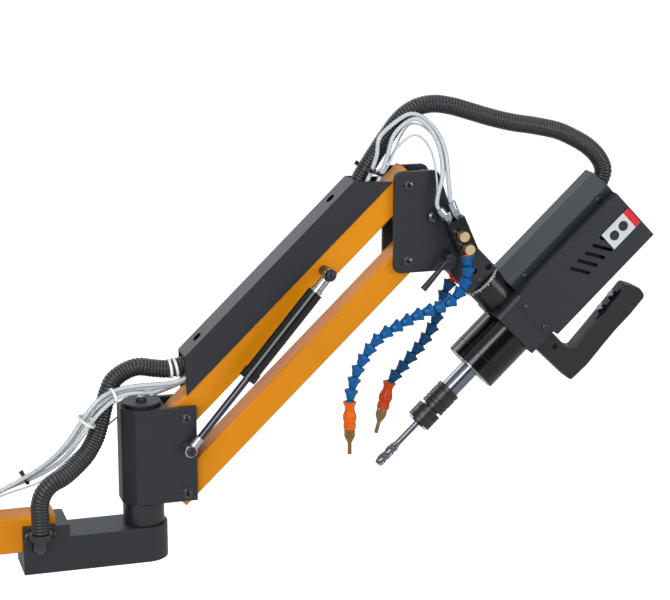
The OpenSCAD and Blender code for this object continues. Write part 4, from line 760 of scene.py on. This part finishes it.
flexible("base_conduit_look", "base_conduit", plain([base_route]), "black_plastic", [0.36], conduit,
         [(0.075, "tie_white", 12.3, 200), (0.095, "tie_white", 12.3, 214)])
flexible("head_conduit_look", "head_conduit", plain([head_route]), "black_plastic", [0.30, 0.72],
         conduit,
         [(0.088, "tie_black", 12.4, 60)])
flexible("base_tubes_look", "base_air_tubes", plain(base_tubes) + plain(thin_base, True), "clear_tube",
         [0.36], smooth_tube,
         [(0.34, "tie_white", 9.5, 200), (0.47, "tie_white", 12.5, 160), (0.78, "tie_black", 7.6, 100)])
flexible("head_tubes_look", "head_air_tubes", plain(head_tubes) + plain(thin_head, True), "clear_tube",
         [0.46], smooth_tube, [(0.89, "tie_black", 9.5, 60)])


# Coolant hoses

BALL, RIM, PITCH, NECK, BORE = 6.65, 3.0, 16.6, 4.0, 3.0
BALL_ARC = (-52, -36, -18, 0, 20, 40, 55)


def walk(curve, count):
    """Ball centres at an even pitch along a curve."""
    balls = [curve[0]]
    i = 0
    for _ in range(count + 1):
        p = balls[-1]
        while i < len(curve) - 2 and (curve[i + 1] - p).length < PITCH:
            i += 1
        a, b = curve[i], curve[i + 1]
        low, high = 0.0, 1.0
        for _ in range(30):
            half = (low + high) / 2
            if (a.lerp(b, half) - p).length < PITCH:
                low = half
            else:
                high = half
        balls.append(a.lerp(b, high))
    return balls


front_route = [IN_VALVE @ Vector((34, VALVE_Y, -4))] + [TILT + Vector((x, VALVE_Y, z)) for x, z in (
    (48.4, -77.5), (43.6, -95), (33.9, -108.5), (19.9, -120.5), (3.9, -125.5), (-12.1, -129.5),
    (-27.1, -134.5), (-42.1, -141.5), (-56.1, -148.5), (-69.1, -154.5), (-83.1, -164.5), (-93.1, -176.5),
    (-103.1, -191.5), (-111.1, -206.5), (-116.6, -224.5), (-120.1, -240.5), (-121.1, -254.5),
    (-120.6, -288.5), (-119.1, -324.5))]
rear_route = [HEAD - 34.5 * UP + 113 * SIDE] + [TILT + Vector((x, 0, z)) for x, z in (
    (28.6, -116.8), (23.4, -132.8), (18.4, -148.5), (12.2, -162.9), (4, -175.6), (-5.6, -188),
    (-15.6, -200.1), (-25.8, -210.3), (-36, -222.5), (-46.7, -232.6), (-52.2, -244.2), (-67.8, -307))]


def ball_outline(degrees, radius, z=0.0):
    """Points of a ball's outline at angles above its middle."""
    return [(radius * math.cos(a), z + radius * math.sin(a)) for a in map(math.radians, degrees)]


def socket_outline():
    """The open socket of a link from its bore down to its rim."""
    return [(BORE, 6.2)] + ball_outline((58, 35, 12, -10, -25.5), BALL + 0.3)


def link_outline():
    """A hose link: a wide rounded rim, a taper down to the neck and a ball, with its bore."""
    rim = [(7.9, -RIM), (8.8, -2.9), (9.35, -2.3), (9.6, -1.4), (9.5, -0.4)]
    taper = [(9.0, 0.7), (8.2, 1.9), (7.3, 3.6), (6.6, 5.6), (6.1, 7.6), (5.8, 9.2), (5.2, 10.4)]
    ball = [(NECK, 11.36)] + ball_outline(BALL_ARC, BALL, PITCH) + [(BORE, PITCH + 5.9)]
    return rim + taper + ball + socket_outline()


def nozzle_outline():
    """Socket with a lip, a waist, a bulb and a ring."""
    lip = [(8.2, -RIM), (9.2, -2.5), (9.3, -1.4), (8.6, 0.2), (7.5, 2.2)]
    bulb = [(7.0, 4.4), (6.6, 6.6), (6.9, 9.4), (8.0, 13), (9.2, 16.4), (9.6, 18.6), (9.5, 20.6), (8.8, 24)]
    waist = [(7.8, 26.4), (7.5, 27.2)]
    ring = [(8.4, 28.2), (8.7, 29.4), (8.7, 31.2), (8.2, 31.8), (8.2, 32.4), (8.6, 33), (8.6, 35.2)]
    seat = [(8.0, 36), (3.55, 36), (3.55, 18), (BORE, 18)]
    return lip + bulb + waist + ring + seat + socket_outline()


TIP = [(1.5, 18), (3.5, 18), (3.5, 36.05), (6.8, 36.05), (7.4, 36.8), (7.4, 46.8), (6.8, 47.8), (3.4, 55),
       (2.8, 55.8), (2.8, 71.6), (2.5, 72.4), (1.5, 72.4)]
ADAPTER = [(BORE, -9), (8, -9), (8, -6.2), (4, -6), (4, -5.3)] + ball_outline(BALL_ARC, BALL) + [(BORE, 5.9)]
HOSES = {
    "coolant_hose_front": (front_route, 17, "hose_blue", at_angle(VALVE_ANGLE)),
    # The rear hose takes the darker copy of the blue, which is painted shade.
    "coolant_hose_rear": (rear_route, 10, "hose_blue_rear", -UP),
}


TIP_SIDES = 48
GRIP = 7.3


def knurled_tip():
    """The turned tip with every second edge of its collar pressed in, so that the collar is fluted."""
    verts, faces = turned(TIP, TIP_SIDES, ring=True)
    for p in verts:
        edge = round(math.atan2(p.y, p.x) * TIP_SIDES / (2 * math.pi))
        if edge % 2 and p.xy.length > GRIP:
            p.x *= 0.9
            p.y *= 0.9
    return verts, faces


link = turned(link_outline(), 32, ring=True)
nozzle = turned(nozzle_outline(), 32, ring=True)
adapter = turned(ADAPTER, 32, ring=True)
tip = knurled_tip()
nozzles, adapters, tips = Build(), [], Build()
for number, (node, (route, count, blue, way_out)) in enumerate(HOSES.items()):
    balls = walk(resample(catmull(route, 16), count=900), count)
    hose = Build()
    for ball, following in zip(balls[:count], balls[1:]):
        hose.add(*link, matrix=aim(ball, following - ball))
    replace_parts(hose.finish(node + "_look", blue, "head_arm", "hose_blue", smooth=65), node)
    at_end = aim(balls[count], balls[count + 1] - balls[count])
    nozzles.add(*nozzle, matrix=at_end, number=number)
    tips.add(*tip, matrix=at_end)
    adapters.append((aim(route[0], way_out), number))
for matrix, number in adapters:
    nozzles.add(*adapter, matrix=matrix, number=number)
# The rear nozzle and the rear adapter take the darker orange, which is painted shade.
nozzle_mats = ["nozzle_orange", "nozzle_rear"]
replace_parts(nozzles.finish("coolant_nozzles_look", nozzle_mats, "head_arm", smooth=50), "coolant_nozzles")
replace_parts(tips.finish("coolant_tips_fine", "tip_brass", "head_arm", "knob_brass"), "coolant_tips")


# Tap

def fluted(start, thread, end, shank, radius, lobes=3, twist=300, sides=48):
    """A tap: a round shank and a length with spiral flutes and a short taper."""
    steps = int((end - thread) / 0.5)
    heights = [start, thread - 1.5, thread] + [thread + 0.5 * (i + 1) for i in range(steps)]
    verts = []
    for z in heights:
        t = max(0.0, (z - thread) / (end - thread))
        taper = 1 - 0.4 * max(0.0, (z - end + 4) / 4)
        crest = shank + (radius - shank) * min(1, t * 6)
        for k in range(sides):
            a = 2 * math.pi * k / sides
            wave = 0.5 + 0.5 * math.cos(lobes * (a - math.radians(twist) * t))
            flute = 0.42 * max(0.0, wave - 0.45) / 0.55 * min(1, t * 8)
            tooth = 0.28 * (0.5 - abs((z / 1.5) % 1 - 0.5)) * (1 if t > 0.15 else 0)
            r = (crest * (1 - flute) - tooth) * taper
            verts.append((r * math.cos(a), r * math.sin(a), z))
    return verts, closed_rings(len(heights), sides)


tap = Build().add(*fluted(start=43.0, thread=106.0, end=146.2, shank=4.5, radius=6.7), matrix=IN_CHUCK)
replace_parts(tap.finish("tap_look", "tap_steel", BODY["tap"], SLOT["tap"], smooth=40), "tap")


# Small details

COVER_FACE = -42.5
BLOCK_FACE = -41.12
DIAL_TICKS = 60
SOCKET_SIDES = 6


def disc(x, y, z, outline, sides=32):
    """A turned piece whose axis points to the front, in a frame whose Y lies across."""
    verts, faces = turned(outline, sides)
    return around(Matrix.Translation((x, y, z)) @ TO_FRONT, verts), faces


def pad(r, h, edge=0.3):
    """Outline of a round pad with a broken edge."""
    return [(0, 0), (r, 0), (r, h - edge), (r - edge, h), (0, h)]


def dress(name, mats, node, pieces, matrix, bevel=0.0, smooth=30):
    """Small pieces on a node's body, each with the number of its material."""
    b = Build()
    for number, (verts, faces) in pieces:
        b.add(verts, faces, matrix, number)
    return b.finish(name, mats, BODY[node], smooth=smooth, bevel=bevel)


def band(inner, outer, low, high, sides):
    """A turned ring with a square section, as one piece in the first material."""
    return 0, turned([(inner, low), (outer, low), (outer, high), (inner, high)], sides, True)


# Bare plate on the front cover: a pale field, a red band and two dark spots
PLATE_START, BAND_START, PLATE_END = 160, 203, 213
PLATE_LOW, PLATE_HIGH = -13.4, 16
PLATE_FACE = COVER_FACE - 0.4
spot = pad(7.2, 0.25, 0.1)
dress("plate_bare", ["label_white", "label_red", "label_black"], "front_cover", [
    (0, boxed(PLATE_START, BAND_START, PLATE_FACE, COVER_FACE, PLATE_LOW, PLATE_HIGH)),
    (1, boxed(BAND_START, PLATE_END, PLATE_FACE, COVER_FACE, PLATE_LOW, PLATE_HIGH)),
    (2, disc(191.3, PLATE_FACE, 2, spot)),
    (2, disc(173.2, PLATE_FACE, 1.4, spot))], IN_HEAD)

# Seam between the front cover's tab and the gearbox, and a turned seam and a bright lip on the housing
dress("tab_seam", "dark_hole", "gearbox_block", [
    (0, boxed(6.6, 7.3, BLOCK_FACE, -40.4, -34.0, 36)),
    (0, boxed(7.3, 20.2, BLOCK_FACE, -40.4, 35.6, 36.3))], IN_HEAD)
dress("housing_seam", "dark_hole", "spindle_housing", [band(39.2, 39.85, -63.5, -62.7, 96)], IN_CHUCK)
inner_lip = [(16.5, -42.5), (22.0, -42.5), (22.0, -41.7), (21.4, -41.2), (16.5, -41.2)]
dress("housing_lip", "bright_zinc", "spindle_housing", [
    band(36.2, 37.6, -42.5, -41.9, 72), (0, turned(inner_lip, 56, True))], IN_CHUCK, 0.15)

# White graduations on the dial ring
long_tick, short_tick = (boxed(27.9, 28.2, -0.5, 0.5, low, 85.5) for low in (80.5, 81.6))
ticks = []
for k in range(DIAL_TICKS):
    verts, faces = short_tick if k % 5 else long_tick
    turn = Matrix.Rotation(2 * math.pi * k / DIAL_TICKS, 4, "Z")
    ticks.append((0, (around(turn, verts), faces)))
dress("dial_marks", "mark_white", "dial_ring", ticks, IN_HEAD)
dress("dial_index", "red_dot", "head_arm", [(0, disc(974.7, -20.6, 539.6, pad(1.5, 0.35, 0.1), 16))], IN_ROW)

# Dark bands of painted shade for the ring grooves of the chuck, and the chuck's clip
rings = [band(18.1, 18.36, z, z + 0.5, 64) for z in (43.0, 44.6, 46.2, 47.8, 56.5, 58.1)]
dress("sleeve_groove_shade", "dark_hole", "chuck_sleeve", rings, IN_CHUCK)
clip = turned([(10.2, 64.4), (15.6, 64.4), (15.6, 65.6), (10.2, 65.6)], 31, ring=True, start=-25, angle=310)
dress("chuck_clip", "black_steel", "chuck_body", [(0, clip)], IN_CHUCK, 0.15)

# Silver neck and eye at the spring's upper end, a black screw at its lower eye
neck = [(4.5, 7.2), (6.9, 8.6), (7.1, 10), (7.1, 24), (8.2, 25), (8.2, 29.6), (6, 29.6)]
dress("spring_neck", "bright_zinc", "spring_cylinder", [(0, turned(neck, 36))],
      aim(UPPER_EYE, -at_angle(SPRING_ANGLE)), smooth=40)
eye_ring = [(8.55, -5.3), (8.95, -5.0), (8.95, 5.0), (8.55, 5.3)]
dress("spring_eye_ring", "bright_zinc", "spring_cylinder", [(0, turned(eye_ring, 40, True))],
      Matrix.Translation(UPPER_EYE) @ TO_FRONT)
screw = [(6.9, 0), (6.9, 1.6), (6.4, 1.7), (6.4, 3.2), (6.0, 4.6), (4.4, 5.3), (2.9, 5.35), (2.7, 3.6),
         (0, 3.6)]
dress("lower_eye_screw", "black_steel", "spring_eye", [(0, turned(screw, 36))],
      Matrix.Translation(LOWER_EYE + Vector((0, -5.85, 0))) @ TO_FRONT, smooth=40)

# Square bodies of the air fittings
dress("fitting_blocks", "bright_zinc", "air_fittings", [
    (0, boxed(-38, -27.2, -46.0, -35.0, side - 5.2, side + 5.2)) for side in (-7, 5.5)], IN_VALVE, 0.9)


def front_of(node):
    """Y of a node's front, in millimetres."""
    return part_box(node)[0][1] / MM


def socket_shade_pad(x, y, z, radius, height):
    """A dark six-sided pad of painted shade inside a screw's socket, in the second material."""
    return 1, disc(x, y, z, pad(radius, height, 0.1), SOCKET_SIDES)


# Washers and painted shade inside the hex sockets of the pivot screws, ring of the clamp lever's hub screw
# and painted shade in its socket
WASHER = [(4.6, 0), (7.9, 0), (7.9, 0.9), (6.9, 1.6), (4.6, 1.6)]
PIVOTS = {
    "rear": ("rear_pivot_bolts", "arm_bracket", [PIN, PIN - LINK_GAP]),
    "head": ("head_pivot_bolts", "head_plate_front", [HEAD_PIN, HEAD_PIN - LINK_GAP, TILT]),
}
for name, (node, plate, places) in PIVOTS.items():
    washers = [(0, disc(p.x, front_of(plate), p.z, WASHER, 40)) for p in places]
    socket_shades = [socket_shade_pad(p.x, front_of(node) + 0.9, p.z, 2.5, 0.5) for p in places]
    dress(name + "_washers", ["washer_black", "dark_hole"], node, washers + socket_shades, IN_ROW)
hub_ring = [(0, 0), (4.6, 0), (4.6, 1.0), (4.0, 1.5), (2.6, 1.5), (2.4, 0.9), (0, 0.9)]
lever_front = front_of("clamp_lever")
dress("lever_screw", ["dark_rod", "dark_hole"], "clamp_lever", [
    (0, disc(LEVER_HUB.x, lever_front + 0.3, LEVER_HUB.z, hub_ring, 32)),
    socket_shade_pad(LEVER_HUB.x, lever_front - 0.5, LEVER_HUB.z, 2.3, 0.4)], IN_ROW)

# Bright dome of the screw in the elbow's cap
dome = [(0, -1.2), (5.0, -1.2), (4.8, -0.4), (4.0, 0.5), (2.6, 1.1), (0, 1.3)]
cap_low, cap_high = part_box("elbow_cap")
cap_top = [(cap_low[0] + cap_high[0]) / 2 / MM, (cap_low[1] + cap_high[1]) / 2 / MM, cap_high[2] / MM]
dress("cap_dome", "bright_zinc", "elbow_cap", [(0, turned(dome, 40))], Matrix.Translation(cap_top), smooth=40)
